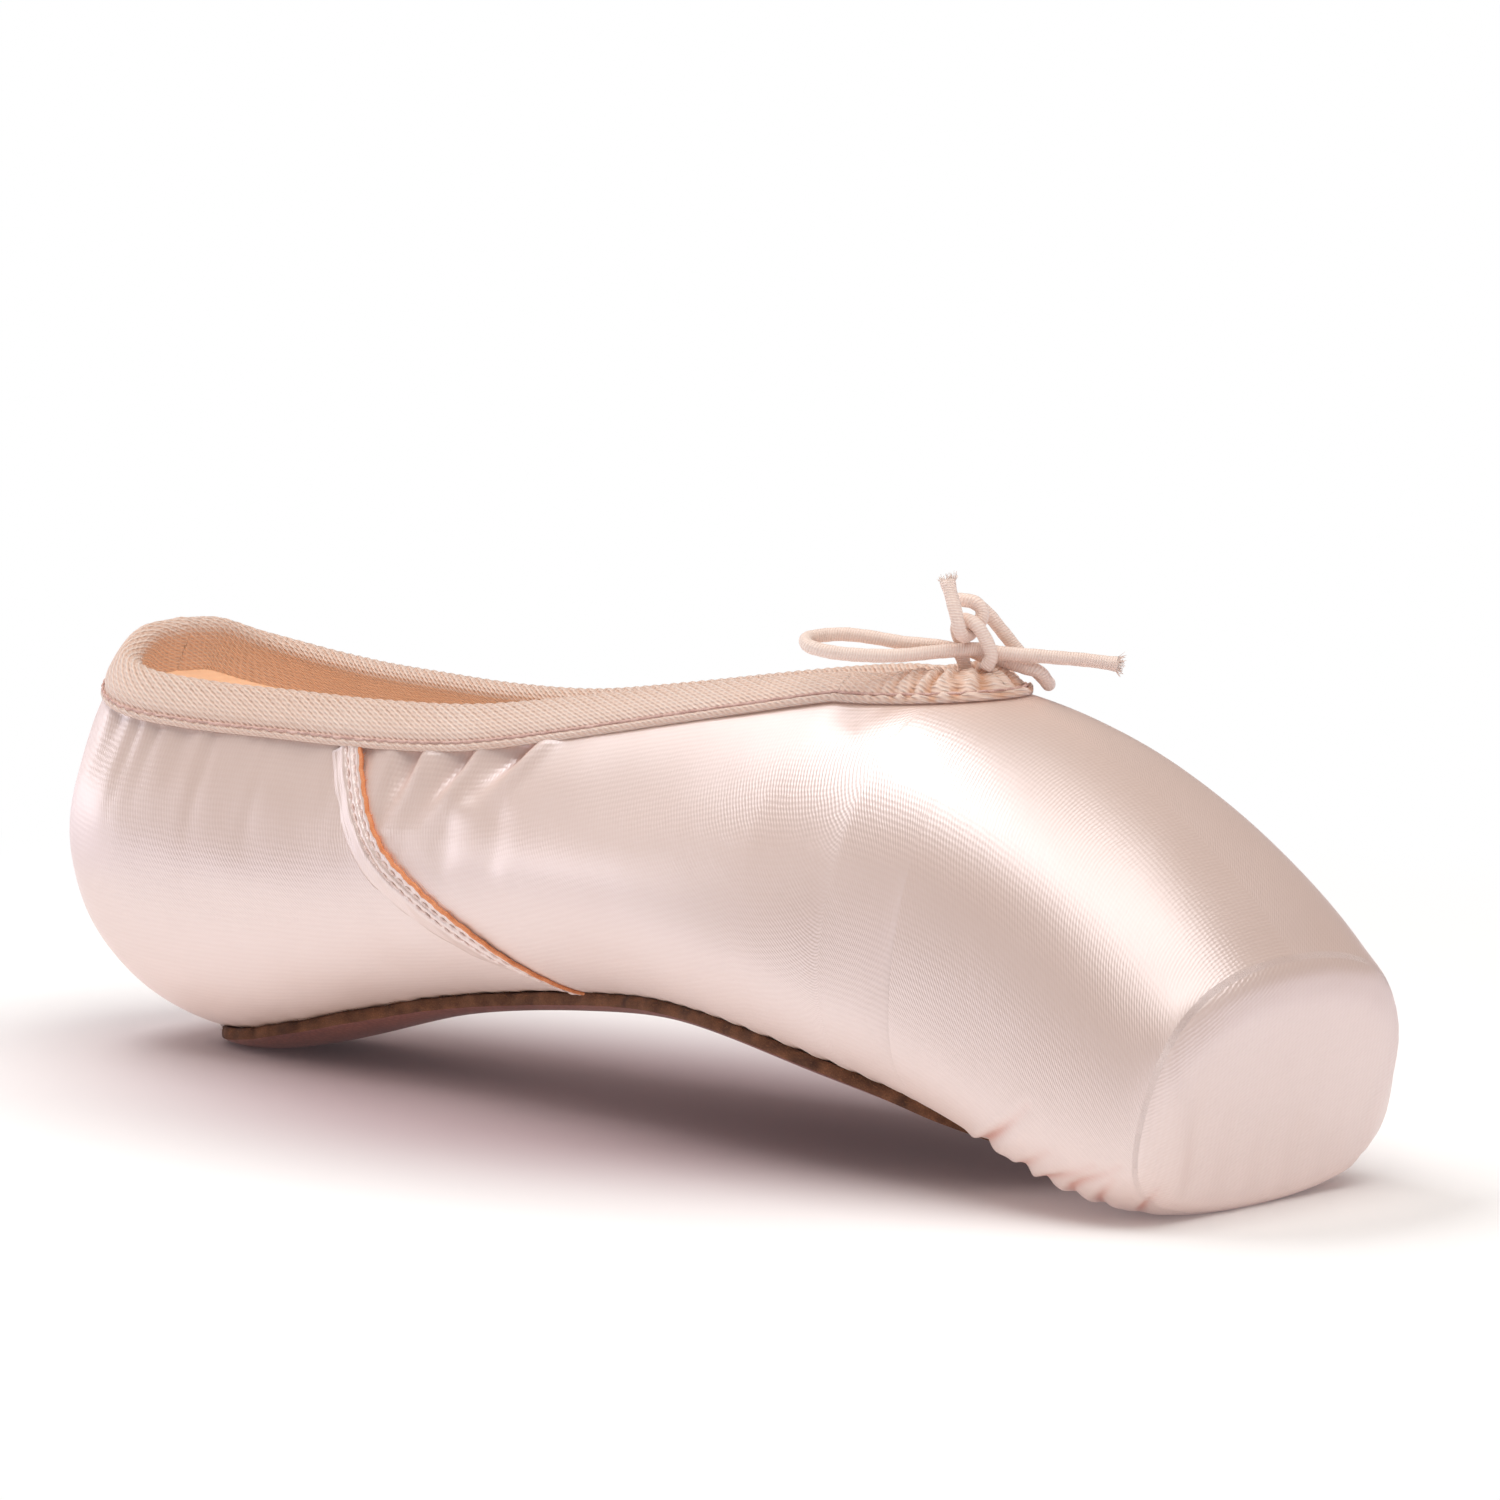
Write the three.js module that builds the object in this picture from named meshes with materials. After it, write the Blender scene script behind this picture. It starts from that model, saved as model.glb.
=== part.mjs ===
// Pointe shoe on a straight last: a hollow satin upper, leather outsole, insole, folded collar
// binding, lapped side seams and the bow of the elastic drawstring. Each is a closed solid.
// Millimetres. +X points to the toe, +Y to the left, +Z up, and the floor is at z = 0.
import * as THREE from 'three';

// Driving sizes
const shoeLength = 237;
const halfBall = 35;
const archHeight = 16;
const instepHeight = 72;
const gap = 0.3;
const quarterWall = 1.5;
const boxWall = 2.8;
const outsoleThickness = 2.3;
const outsoleEdge = 1.7;
const insoleThickness = 1.8;
const bindingWidth = 7.2;
const bindingThickness = 0.8;
const bindingPuff = 0.4;
const throatGather = 1.4;
const seamThickness = 0.7;
const seamWidth = 5.4;
const seamClearance = 2.1;
const cordDiameter = 2.0;
const platformLean = 0.24;
const platformDome = 0.4;

// The last, one row for each section from heel to toe. x is a share of shoeLength, turn the
// section's direction in plan in degrees from +X, wide a share of halfBall, girth and top shares
// of instepHeight, lift a share of the outsole and its gap, sole a share of archHeight, low and
// up the exponents of the rounded outline below and above the widest line.
const lastRows = [
  { x: 0.118, turn: 180, wide: 0.872, girth: 0.396, top: 1.180, lift: 1, sole: 0.020, low: 1.85, up: 1.52 },
  { x: 0.118, turn: 158, wide: 0.904, girth: 0.436, top: 1.186, lift: 1, sole: 0.000, low: 1.85, up: 1.54 },
  { x: 0.118, turn: 135, wide: 0.920, girth: 0.465, top: 1.187, lift: 1, sole: -0.040, low: 1.95, up: 1.44 },
  { x: 0.121, turn: 112, wide: 0.914, girth: 0.479, top: 1.168, lift: 1, sole: -0.080, low: 2.05, up: 1.35 },
  { x: 0.150, turn: 95, wide: 0.840, girth: 0.474, top: 1.124, lift: 1, sole: -0.085, low: 2.20, up: 1.29 },
  { x: 0.220, turn: 90, wide: 0.760, girth: 0.464, top: 1.086, lift: 1, sole: 0.165, low: 2.30, up: 1.30 },
  { x: 0.300, turn: 90, wide: 0.725, girth: 0.481, top: 1.046, lift: 0.8, sole: 0.576, low: 2.30, up: 1.25 },
  { x: 0.380, turn: 90, wide: 0.722, girth: 0.501, top: 1.010, lift: 0.6, sole: 0.802, low: 2.30, up: 1.25 },
  { x: 0.460, turn: 90, wide: 0.784, girth: 0.527, top: 0.990, lift: 0.4, sole: 0.961, low: 2.30, up: 1.25 },
  { x: 0.540, turn: 90, wide: 0.882, girth: 0.541, top: 0.986, lift: 0.2, sole: 1.081, low: 2.30, up: 1.30 },
  { x: 0.620, turn: 90, wide: 0.965, girth: 0.515, top: 0.990, lift: 0, sole: 1.007, low: 2.30, up: 1.50 },
  { x: 0.700, turn: 90, wide: 1.000, girth: 0.462, top: 0.991, lift: 0, sole: 0.793, low: 2.30, up: 1.80 },
  { x: 0.780, turn: 90, wide: 0.985, girth: 0.395, top: 0.972, lift: 0, sole: 0.620, low: 2.30, up: 2.10 },
  { x: 0.860, turn: 90, wide: 0.975, girth: 0.290, top: 0.877, lift: 0, sole: 0.268, low: 2.40, up: 2.40 },
  { x: 0.930, turn: 90, wide: 0.932, girth: 0.204, top: 0.712, lift: 0, sole: -0.060, low: 2.50, up: 2.50 },
  { x: 1.000, turn: 90, wide: 0.854, girth: 0.158, top: 0.491, lift: 0, sole: -0.100, low: 2.60, up: 2.60 },
];
// Directions in a section, in degrees from its widest line: -90 is under the foot, 90 on top
const columnAngles = [-90, -70, -48, -24, 0, 24, 46, 68, 90];
// The platform is closed by rows that shrink to its middle
const platformShares = [0.66, 0.33, 0];
const toeRow = lastRows.length + platformShares.length - 1;
const topColumn = columnAngles.length - 1;
// Where the rows meet in a point, the surface faces these ways
const toeNormal = new THREE.Vector3(1, 0, -platformLean).normalize();
const heelNormal = new THREE.Vector3(0, 0, -1);

// Lines on the last, from its row at the heel's back to the row where the line meets y = 0
const collarLine = {
  meets: topColumn,
  end: 11.7,
  knots: [
    { row: 0, column: 6.00 },
    { row: 1, column: 5.92 },
    { row: 2, column: 5.76 },
    { row: 3, column: 5.71 },
    { row: 4, column: 5.78 },
    { row: 5, column: 5.88 },
    { row: 6, column: 5.98 },
    { row: 7, column: 6.13 },
    { row: 8, column: 6.41 },
    { row: 9, column: 6.73 },
    { row: 10, column: 7.09 },
    { row: 10.8, column: 7.46 },
  ],
};
const outsoleLine = {
  meets: 0,
  end: 13.0,
  knots: [
    { row: 0, column: 0.46 },
    { row: 1, column: 0.46 },
    { row: 2, column: 0.50 },
    { row: 3, column: 0.68 },
    { row: 4, column: 0.95 },
    { row: 5, column: 1.06 },
    { row: 6, column: 0.88 },
    { row: 7, column: 0.84 },
    { row: 8, column: 1.04 },
    { row: 9, column: 1.32 },
    { row: 10, column: 1.64 },
    { row: 11, column: 1.78 },
    { row: 12, column: 1.60 },
  ],
};
const openingLine = {
  meets: 0,
  end: 12.4,
  knots: [
    { row: 0, column: 0.22 },
    { row: 2, column: 0.26 },
    { row: 3, column: 0.36 },
    { row: 5, column: 0.62 },
    { row: 7, column: 0.48 },
    { row: 9, column: 0.86 },
    { row: 10.5, column: 1.14 },
    { row: 11.7, column: 1.10 },
  ],
};
const insoleLine = {
  meets: 0,
  end: 12.9,
  knots: [
    { row: 0, column: 1.30 },
    { row: 3, column: 1.40 },
    { row: 5, column: 1.50 },
    { row: 7, column: 1.45 },
    { row: 9, column: 1.75 },
    { row: 10.5, column: 1.95 },
    { row: 12, column: 1.60 },
  ],
};
// The side seam's front edge, from the outsole up to the binding
const seamLine = [
  { column: 0.9, row: 8.10 },
  { column: 1.9, row: 8.00 },
  { column: 2.9, row: 7.55 },
  { column: 3.7, row: 6.97 },
  { column: 4.3, row: 6.53 },
  { column: 5.1, row: 6.13 },
  { column: 6.2, row: 5.66 },
];

// The drawstring's two ends, each a route from the throat through the knot. Points are in mm
// from the knot's middle. The first makes the left loop, the second wraps it and makes the
// right loop.
const knotCentre = [59, 0, 75.6];
const firstRoute = [
  [-1.2, 0.4, -6.1], [-1.3, 0.5, -3.9], [-2.1, 0.0, -1.8], [-4.2, -2.0, -1.0], [-8.1, -5.3, -0.5],
  [-12.1, -8.4, 0.3], [-15.1, -10.6, 0.6], [-17.3, -12.8, 0.4], [-17.8, -14.8, 0.2],
  [-17.1, -16.2, -0.1], [-15.7, -17.0, -0.6], [-13.5, -16.5, -1.1], [-11.1, -14.4, -1.6],
  [-6.4, -9.5, -1.9], [-1.9, -4.4, -1.4], [0.4, -1.0, -1.2], [1.7, 0.8, -1.2], [3.4, 2.1, -1.6],
  [8.5, 6.6, -2.2], [12.7, 11.3, -2.8], [15.8, 14.4, -3.4],
];
const secondRoute = [
  [3.4, -0.2, -3.7], [4.3, -0.1, -1.9], [3.7, -0.6, 0.5], [2.5, -1.4, 2.6], [0.4, -1.5, 3.2],
  [-2.8, 0.5, 1.4], [-2.8, 1.9, -1.1], [-0.8, 3.5, -2.5], [2.7, 4.6, -3.2], [5.8, 5.8, -4.0],
  [7.3, 6.9, -4.5], [6.9, 9.3, -6.5], [5.5, 10.9, -6.6], [3.6, 11.0, -5.4], [1.7, 9.6, -2.9],
  [-0.1, 7.4, 0.6], [-1.7, 5.7, 3.4], [-2.9, 4.1, 5.0], [-3.4, 1.9, 5.5], [-2.7, 0.7, 5.6],
  [-1.2, 0.3, 5.7], [0.5, 0.9, 5.4], [1.3, 1.3, 4.3], [1.3, 1.0, 2.9], [0.7, -0.1, 1.4],
  [1.1, -2.4, 0.9], [1.4, -3.6, 1.8], [1.1, -4.0, 4.0], [-1.2, -3.4, 8.8],
];
const cordSides = 8;
const cordStep = 1.5;

const satin = new THREE.MeshStandardMaterial({ color: 0xf0dcd2, roughness: 0.38, metalness: 0 });
const tape = new THREE.MeshStandardMaterial({ color: 0xeccdb9, roughness: 0.75, metalness: 0 });
const leather = new THREE.MeshStandardMaterial({ color: 0x8a5a48, roughness: 0.7, metalness: 0 });
const lining = new THREE.MeshStandardMaterial({ color: 0xe9cbae, roughness: 0.85, metalness: 0 });
const elastic = new THREE.MeshStandardMaterial({ color: 0xf0d3c6, roughness: 0.6, metalness: 0 });

const radians = THREE.MathUtils.degToRad;
const blend = THREE.MathUtils.lerp;
const plus = (point, direction, length) => point.clone().addScaledVector(direction, length);

function signedPower(value, exponent) {
  return Math.sign(value) * Math.abs(value) ** exponent;
}

// Control points of the last's left half, a rounded outline in the plane of each section
function sectionPoints(section, index) {
  const floorLift = section.lift * (outsoleThickness + gap);
  const soleZ = floorLift + section.sole * archHeight;
  const girthZ = section.girth * instepHeight;
  const topZ = section.top * instepHeight;
  const leanShare = Math.max(0, index - lastRows.length + 3) / 2;
  return columnAngles.map((degrees) => {
    const angle = radians(degrees);
    const exponent = 2 / (degrees < 0 ? section.low : section.up);
    const reach = section.wide * halfBall * Math.max(0, Math.cos(angle)) ** exponent;
    const rise = (degrees < 0 ? girthZ - soleZ : topZ - girthZ) * signedPower(Math.sin(angle), exponent);
    const z = girthZ + rise;
    const lean = leanShare * platformLean * (z - (topZ + soleZ) / 2);
    const x = (section.x - 0.5) * shoeLength + reach * Math.cos(radians(section.turn)) + lean;
    return new THREE.Vector3(x, reach * Math.sin(radians(section.turn)), z);
  });
}

// The control net, with the platform's rows and a mirrored margin on each side
function controlNet() {
  const net = lastRows.map(sectionPoints);
  const rim = net[net.length - 1];
  const middle = rim[0].clone().lerp(rim[topColumn], 0.5).setY(0);
  for (const share of platformShares) {
    const dome = new THREE.Vector3(platformDome * (1 - share * share), 0, 0);
    net.push(rim.map((point) => middle.clone().lerp(point, share).add(dome)));
  }
  const mirrored = (point) => new THREE.Vector3(point.x, -point.y, point.z);
  const beyond = net[toeRow].map((point, k) => point.clone().multiplyScalar(2).sub(net[toeRow - 1][k]));
  const rows = [net[1].map(mirrored), ...net, beyond];
  return rows.map((row) => [mirrored(row[1]), ...row, mirrored(row[topColumn - 1])]);
}
const net = controlNet();

// Cubic B-spline weights and their slopes at t from 0 to 1
function splineWeights(t) {
  return [(1 - t) ** 3 / 6, (3 * t ** 3 - 6 * t ** 2 + 4) / 6,
    (-3 * t ** 3 + 3 * t ** 2 + 3 * t + 1) / 6, t ** 3 / 6];
}
function splineSlopes(t) {
  return [-((1 - t) ** 2) / 2, (3 * t ** 2 - 4 * t) / 2, (-3 * t ** 2 + 2 * t + 1) / 2, t ** 2 / 2];
}

// The last's surface: its point, outward normal and both directions
function lastAt(row, column) {
  const i = Math.min(Math.floor(row), toeRow - 1);
  const k = Math.min(Math.floor(column), topColumn - 1);
  const sum = (rowWeights, columnWeights) => {
    const total = new THREE.Vector3();
    rowWeights.forEach((a, r) => columnWeights.forEach((b, c) => {
      total.addScaledVector(net[i + r][k + c], a * b);
    }));
    return total;
  };
  const point = sum(splineWeights(row - i), splineWeights(column - k));
  const alongRow = sum(splineSlopes(row - i), splineWeights(column - k));
  const alongColumn = sum(splineWeights(row - i), splineSlopes(column - k));
  const normal = alongColumn.clone().cross(alongRow);
  if (normal.length() < 1e-6) normal.copy(row > 0 ? toeNormal : heelNormal);
  return { row, column, point, normal: normal.normalize(), alongRow, alongColumn };
}

// A smooth curve through a table's knots
function throughKnots(knots, key, name, at) {
  let k = knots.findIndex((knot) => knot[key] > at) - 1;
  if (k < 0) k = at <= knots[0][key] ? 0 : knots.length - 2;
  const slope = (n) => {
    const before = knots[Math.max(0, n - 1)];
    const after = knots[Math.min(knots.length - 1, n + 1)];
    return (after[name] - before[name]) / (after[key] - before[key]);
  };
  const span = knots[k + 1][key] - knots[k][key];
  const t = (at - knots[k][key]) / span;
  const [h, g] = [3 * t * t - 2 * t ** 3, t - t * t];
  const turn = span * (slope(k) * g * (1 - t) - slope(k + 1) * g * t);
  return blend(knots[k][name], knots[k + 1][name], h) + turn;
}

// A line's column at a row: its knots, then a round end on the middle plane
function lineColumn(line, row) {
  const last = line.knots[line.knots.length - 1];
  if (row >= line.end) return line.meets;
  if (row <= last.row) return throughKnots(line.knots, 'row', 'column', row);
  const share = (row - last.row) / (line.end - last.row);
  return line.meets + (last.column - line.meets) * Math.sqrt(1 - share * share);
}

function evenRows(from, to, step) {
  const count = Math.max(1, Math.round((to - from) / step));
  return Array.from({ length: count + 1 }, (_, k) => blend(from, to, k / count));
}
// Rows of a line's round end, closer together toward its tip
function endRows(line, count) {
  const from = line.knots[line.knots.length - 1].row;
  return Array.from({ length: count }, (_, k) => {
    return from + (line.end - from) * Math.sin((Math.PI / 2) * ((k + 1) / count));
  });
}

// Triangles of one solid. Each sheet is a table of points, and flip turns its outside over.
class Skin {
  corners = [];

  triangle(a, b, c) {
    if (a.distanceTo(b) < 1e-4 || b.distanceTo(c) < 1e-4 || c.distanceTo(a) < 1e-4) return;
    this.corners.push(a, b, c);
  }

  sheet(table, flip = false) {
    for (let i = 0; i + 1 < table.length; i += 1) {
      for (let k = 0; k + 1 < table[i].length; k += 1) {
        const [a, b, c, d] = [table[i][k], table[i][k + 1], table[i + 1][k + 1], table[i + 1][k]];
        this.triangle(a, flip ? c : b, flip ? b : c);
        this.triangle(a, flip ? d : c, flip ? c : d);
      }
    }
    return this;
  }

  fan(ring, flip = false) {
    for (let k = 1; k + 1 < ring.length; k += 1) {
      this.triangle(ring[0], ring[flip ? k + 1 : k], ring[flip ? k : k + 1]);
    }
    return this;
  }

  // The same triangles on the other side of the middle plane
  mirrored() {
    const other = new Skin();
    for (let k = 0; k < this.corners.length; k += 3) {
      const [a, b, c] = this.corners.slice(k, k + 3).map((p) => new THREE.Vector3(p.x, -p.y, p.z));
      other.corners.push(a, c, b);
    }
    return other;
  }

  withMirror() {
    this.corners.push(...this.mirrored().corners);
    return this;
  }

  mesh(name, material) {
    const geometry = new THREE.BufferGeometry().setFromPoints(this.corners);
    geometry.computeVertexNormals();
    const mesh = new THREE.Mesh(geometry, material);
    mesh.name = name;
    return mesh;
  }
}

const onMiddle = (point) => (Math.abs(point.y) < 1e-6 ? point.setY(0) : point);
const onFloor = (point) => onMiddle(point.setZ(Math.max(0, point.z)));

// The upper's wall, thin in the quarters and stiff in the box
function wallAt(row) {
  return blend(quarterWall, boxWall, THREE.MathUtils.smoothstep(row, 7, 12));
}

function upper() {
  const rows = [
    ...evenRows(0, 10.8, 0.54), ...endRows(collarLine, 8), ...endRows(openingLine, 5),
    12.8, 13.2, 13.6, 14, 14.35, 14.7, 15, 15.3, 15.6, 16, 16.6, 17.3, toeRow,
  ];
  const steps = 14;
  const outer = [];
  const inner = [];
  for (const row of rows) {
    const from = lineColumn(openingLine, row);
    const to = lineColumn(collarLine, row);
    const places = evenRows(0, 1, 1 / steps).map((share) => lastAt(row, blend(from, to, share)));
    outer.push(places.map(({ point }) => onFloor(point.clone())));
    inner.push(places.map(({ point, normal }) => onMiddle(plus(point, normal, -wallAt(row)))));
  }
  const skin = new Skin().sheet(outer).sheet(inner, true);
  const collarCount = rows.findIndex((row) => row >= collarLine.end) + 1;
  const openingCount = rows.findIndex((row) => row >= openingLine.end) + 1;
  skin.sheet(outer.slice(0, collarCount).map((line, k) => [line[steps], inner[k][steps]]));
  skin.sheet(outer.slice(0, openingCount).map((line, k) => [line[0], inner[k][0]]), true);
  return skin.withMirror().mesh('upper', satin);
}

// A flat piece that follows the last: under the line, between two distances from its surface
function patch(line, rows, steps, near, far) {
  const [nearSheet, farSheet] = [near, far].map((distance) => rows.map((row) => {
    const edge = lineColumn(line, row);
    return evenRows(0, 1, 1 / steps).map((share) => {
      const { point, normal } = lastAt(row, edge * share);
      return onFloor(plus(point, normal, distance(row, share)));
    });
  }));
  const rim = rows.map((_, k) => [nearSheet[k][steps], farSheet[k][steps]]);
  return new Skin().sheet(nearSheet, true).sheet(farSheet).sheet(rim, true).withMirror();
}

function outsole() {
  const rows = [...evenRows(0, 12, 0.5), ...endRows(outsoleLine, 6)];
  const skive = (row) => 1 - 0.7 * THREE.MathUtils.smoothstep(row, 12, outsoleLine.end);
  const thickness = (row, share) => blend(outsoleThickness, outsoleEdge, share ** 4) * skive(row);
  return patch(outsoleLine, rows, 6, () => gap, (row, share) => gap + thickness(row, share))
    .mesh('outsole', leather);
}

function insole() {
  const rows = [...evenRows(0, 12, 0.6), ...endRows(insoleLine, 4)];
  const top = (row) => -(wallAt(row) + gap + insoleThickness);
  return patch(insoleLine, rows, 5, top, (row) => -(wallAt(row) + gap)).mesh('insole', lining);
}

// A walk of a given length on the last, from a place and in a direction
function walk(place, direction, length) {
  const steps = Math.max(1, Math.ceil(Math.abs(length) / 1.2));
  let here = place;
  for (let k = 0; k < steps; k += 1) {
    const heading = direction.clone().projectOnPlane(here.normal).normalize();
    const { alongRow: r, alongColumn: c } = here;
    const [rr, cc, rc] = [r.dot(r), c.dot(c), r.dot(c)];
    const [hr, hc] = [heading.dot(r), heading.dot(c)];
    const part = length / steps / (rr * cc - rc * rc);
    const row = THREE.MathUtils.clamp(here.row + (hr * cc - hc * rc) * part, 0, toeRow);
    const column = THREE.MathUtils.clamp(here.column + (hc * rr - hr * rc) * part, 0, topColumn);
    here = lastAt(row, column);
  }
  return here;
}

// A place on the collar's edge with the direction away from the opening
function collarPlace(row) {
  const place = lastAt(row, lineColumn(collarLine, row));
  const step = 0.01;
  const along = new THREE.Vector3(0, row < step ? 1 : -1, 0);
  if (row >= step && row <= collarLine.end - step / 4) {
    const before = lastAt(row - step / 4, lineColumn(collarLine, row - step / 4));
    const after = lastAt(row + step / 4, lineColumn(collarLine, row + step / 4));
    along.subVectors(after.point, before.point).normalize();
  }
  return { place, away: place.normal.clone().cross(along).normalize() };
}

// A point beside an edge: reach along the surface from the edge, height out of it. A negative
// reach goes straight on past the edge.
function besideEdge({ place, away }, reach, height) {
  if (reach <= 0) return onMiddle(plus(plus(place.point, away, reach), place.normal, height));
  const there = walk(place, away, reach);
  return onMiddle(plus(there.point, there.normal, height));
}

function binding() {
  const rows = [...evenRows(0, 10.8, 0.54), ...endRows(collarLine, 8)];
  const rings = rows.map((row) => {
    const edge = collarPlace(row);
    const wall = wallAt(row);
    const gather = throatGather * THREE.MathUtils.smoothstep(row, 10.9, 11.5);
    const outside = gap + bindingThickness;
    const bend = wall / 2 + outside;
    const section = [
      [bindingWidth, gap], [bindingWidth / 2, gap], [0, gap], [-gap, -wall / 2],
      [0, -wall - gap], [bindingWidth / 2, -wall - gap], [bindingWidth, -wall - gap],
      [bindingWidth, -wall - outside], [bindingWidth / 2, -wall - outside], [0, -wall - outside],
      [-0.8 * outside, -wall / 2 - 0.6 * bend], [-outside, -wall / 2],
      [-0.8 * outside, -wall / 2 + 0.6 * bend + gather / 2], [0, outside + gather],
      [bindingWidth / 2, outside + bindingPuff + gather / 2], [bindingWidth, outside],
    ];
    const ring = section.map(([reach, height]) => besideEdge(edge, reach, height));
    return [...ring, ring[0]];
  });
  return new Skin().sheet(rings, true).withMirror().mesh('collar_binding', tape);
}

// The lapped side seam, a strip behind the seam line from the outsole to the binding
function seamSkin() {
  const seamPlace = (column) => lastAt(throughKnots(seamLine, 'column', 'row', column), column);
  const topEdge = collarPlace(seamLine[seamLine.length - 1].row);
  const top = walk(topEdge.place, topEdge.away, bindingWidth + seamClearance).column;
  const bottom = lineColumn(outsoleLine, seamLine[0].row) + 0.08;
  const stations = evenRows(bottom, top, (top - bottom) / 14).map((column) => {
    const place = seamPlace(column);
    const along = seamPlace(column + 0.02).point.sub(seamPlace(column - 0.02).point).normalize();
    return { place, away: along.cross(place.normal).normalize(), share: (column - bottom) / (top - bottom) };
  });
  const rings = stations.map((edge) => {
    const width = seamWidth * blend(0.3, 1, THREE.MathUtils.smoothstep(edge.share, 0, 0.35));
    const section = [
      [0, gap], [width / 2, gap], [width, gap], [width, gap + 0.55 * seamThickness],
      [width / 2, gap + seamThickness], [0, gap + seamThickness],
    ];
    const ring = section.map(([reach, height]) => besideEdge(edge, reach, height));
    return [...ring, ring[0]];
  });
  return new Skin().sheet(rings, true).fan(rings[0]).fan(rings[rings.length - 1], true);
}

// A round cord along a route from the knot's middle
function cord(name, route) {
  const places = route.map((offset) => new THREE.Vector3(...knotCentre).add(new THREE.Vector3(...offset)));
  const path = new THREE.CatmullRomCurve3(places, false, 'centripetal');
  const turns = Array.from({ length: cordSides }, (_, k) => (k / cordSides) * 2 * Math.PI);
  const outline = new THREE.Shape(turns.map((turn) => {
    return new THREE.Vector2(Math.cos(turn), Math.sin(turn)).multiplyScalar(cordDiameter / 2);
  }));
  const steps = Math.round(path.getLength() / cordStep);
  const geometry = new THREE.ExtrudeGeometry(outline, { extrudePath: path, steps, bevelEnabled: false });
  const mesh = new THREE.Mesh(geometry, elastic);
  mesh.name = name;
  return mesh;
}

// The upper's box is centred on the origin in plan
const shoe = new THREE.Group();
const shell = upper();
const extent = new THREE.Box3().setFromObject(shell);
shoe.position.x = -(extent.min.x + extent.max.x) / 2;
shoe.add(shell, outsole(), insole(), binding());
shoe.add(seamSkin().mesh('left_seam_band', satin), seamSkin().mirrored().mesh('right_seam_band', satin));
shoe.add(cord('drawstring_left_loop', firstRoute), cord('drawstring_right_loop', secondRoute));
export default shoe;
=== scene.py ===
# Looks of the pointe shoe: satin upper, twill binding, lapped side seams, leather outsole, insole
# and the bow of the elastic drawstring. Lengths here are in mm on the last, and m in Blender.
import math

import bpy
import numpy as np
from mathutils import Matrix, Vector


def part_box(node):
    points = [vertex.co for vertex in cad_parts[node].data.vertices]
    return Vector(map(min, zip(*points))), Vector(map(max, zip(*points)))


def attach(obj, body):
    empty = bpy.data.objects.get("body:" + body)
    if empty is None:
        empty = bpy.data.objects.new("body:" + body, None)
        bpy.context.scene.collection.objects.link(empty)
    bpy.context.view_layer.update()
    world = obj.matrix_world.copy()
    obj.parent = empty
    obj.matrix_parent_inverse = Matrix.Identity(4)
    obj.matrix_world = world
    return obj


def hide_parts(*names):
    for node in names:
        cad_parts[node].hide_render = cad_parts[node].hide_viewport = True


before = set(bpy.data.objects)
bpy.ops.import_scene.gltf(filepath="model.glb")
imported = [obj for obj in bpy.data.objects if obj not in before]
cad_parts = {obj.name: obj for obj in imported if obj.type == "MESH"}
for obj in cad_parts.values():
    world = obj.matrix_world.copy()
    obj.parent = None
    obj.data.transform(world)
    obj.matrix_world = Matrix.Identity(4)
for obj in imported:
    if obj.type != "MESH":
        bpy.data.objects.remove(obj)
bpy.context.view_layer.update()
mm = 0.001
print("stage: frame loaded")

# The camera comes first, at the photograph's angle
cameraSetup = {
    "eye": (0.8021, -0.8329, 0.2065), "azimuth": 43.40, "elevation": 7.49,
    "lens": 187.5, "sensor": 36, "clip": (0.01, 30),
}


def newObject(name, data):
    made = bpy.data.objects.new(name, data)
    bpy.context.scene.collection.objects.link(made)
    return made



def backwards(azimuth, elevation):  # unit vector from the object towards the camera
    turn, lift = math.radians(azimuth), math.radians(elevation)
    return Vector((math.sin(turn) * math.cos(lift), -math.cos(turn) * math.cos(lift), math.sin(lift)))


def makeCamera():
    data = bpy.data.cameras.new("camera")
    data.sensor_width = cameraSetup["sensor"]
    data.lens = cameraSetup["lens"]
    data.clip_start, data.clip_end = cameraSetup["clip"]
    camera = newObject("camera", data)
    back = backwards(cameraSetup["azimuth"], cameraSetup["elevation"])
    camera.rotation_euler = back.to_track_quat("Z", "Y").to_euler()
    camera.location = cameraSetup["eye"]
    bpy.context.scene.camera = camera



makeCamera()
print("stage: camera")

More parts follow.
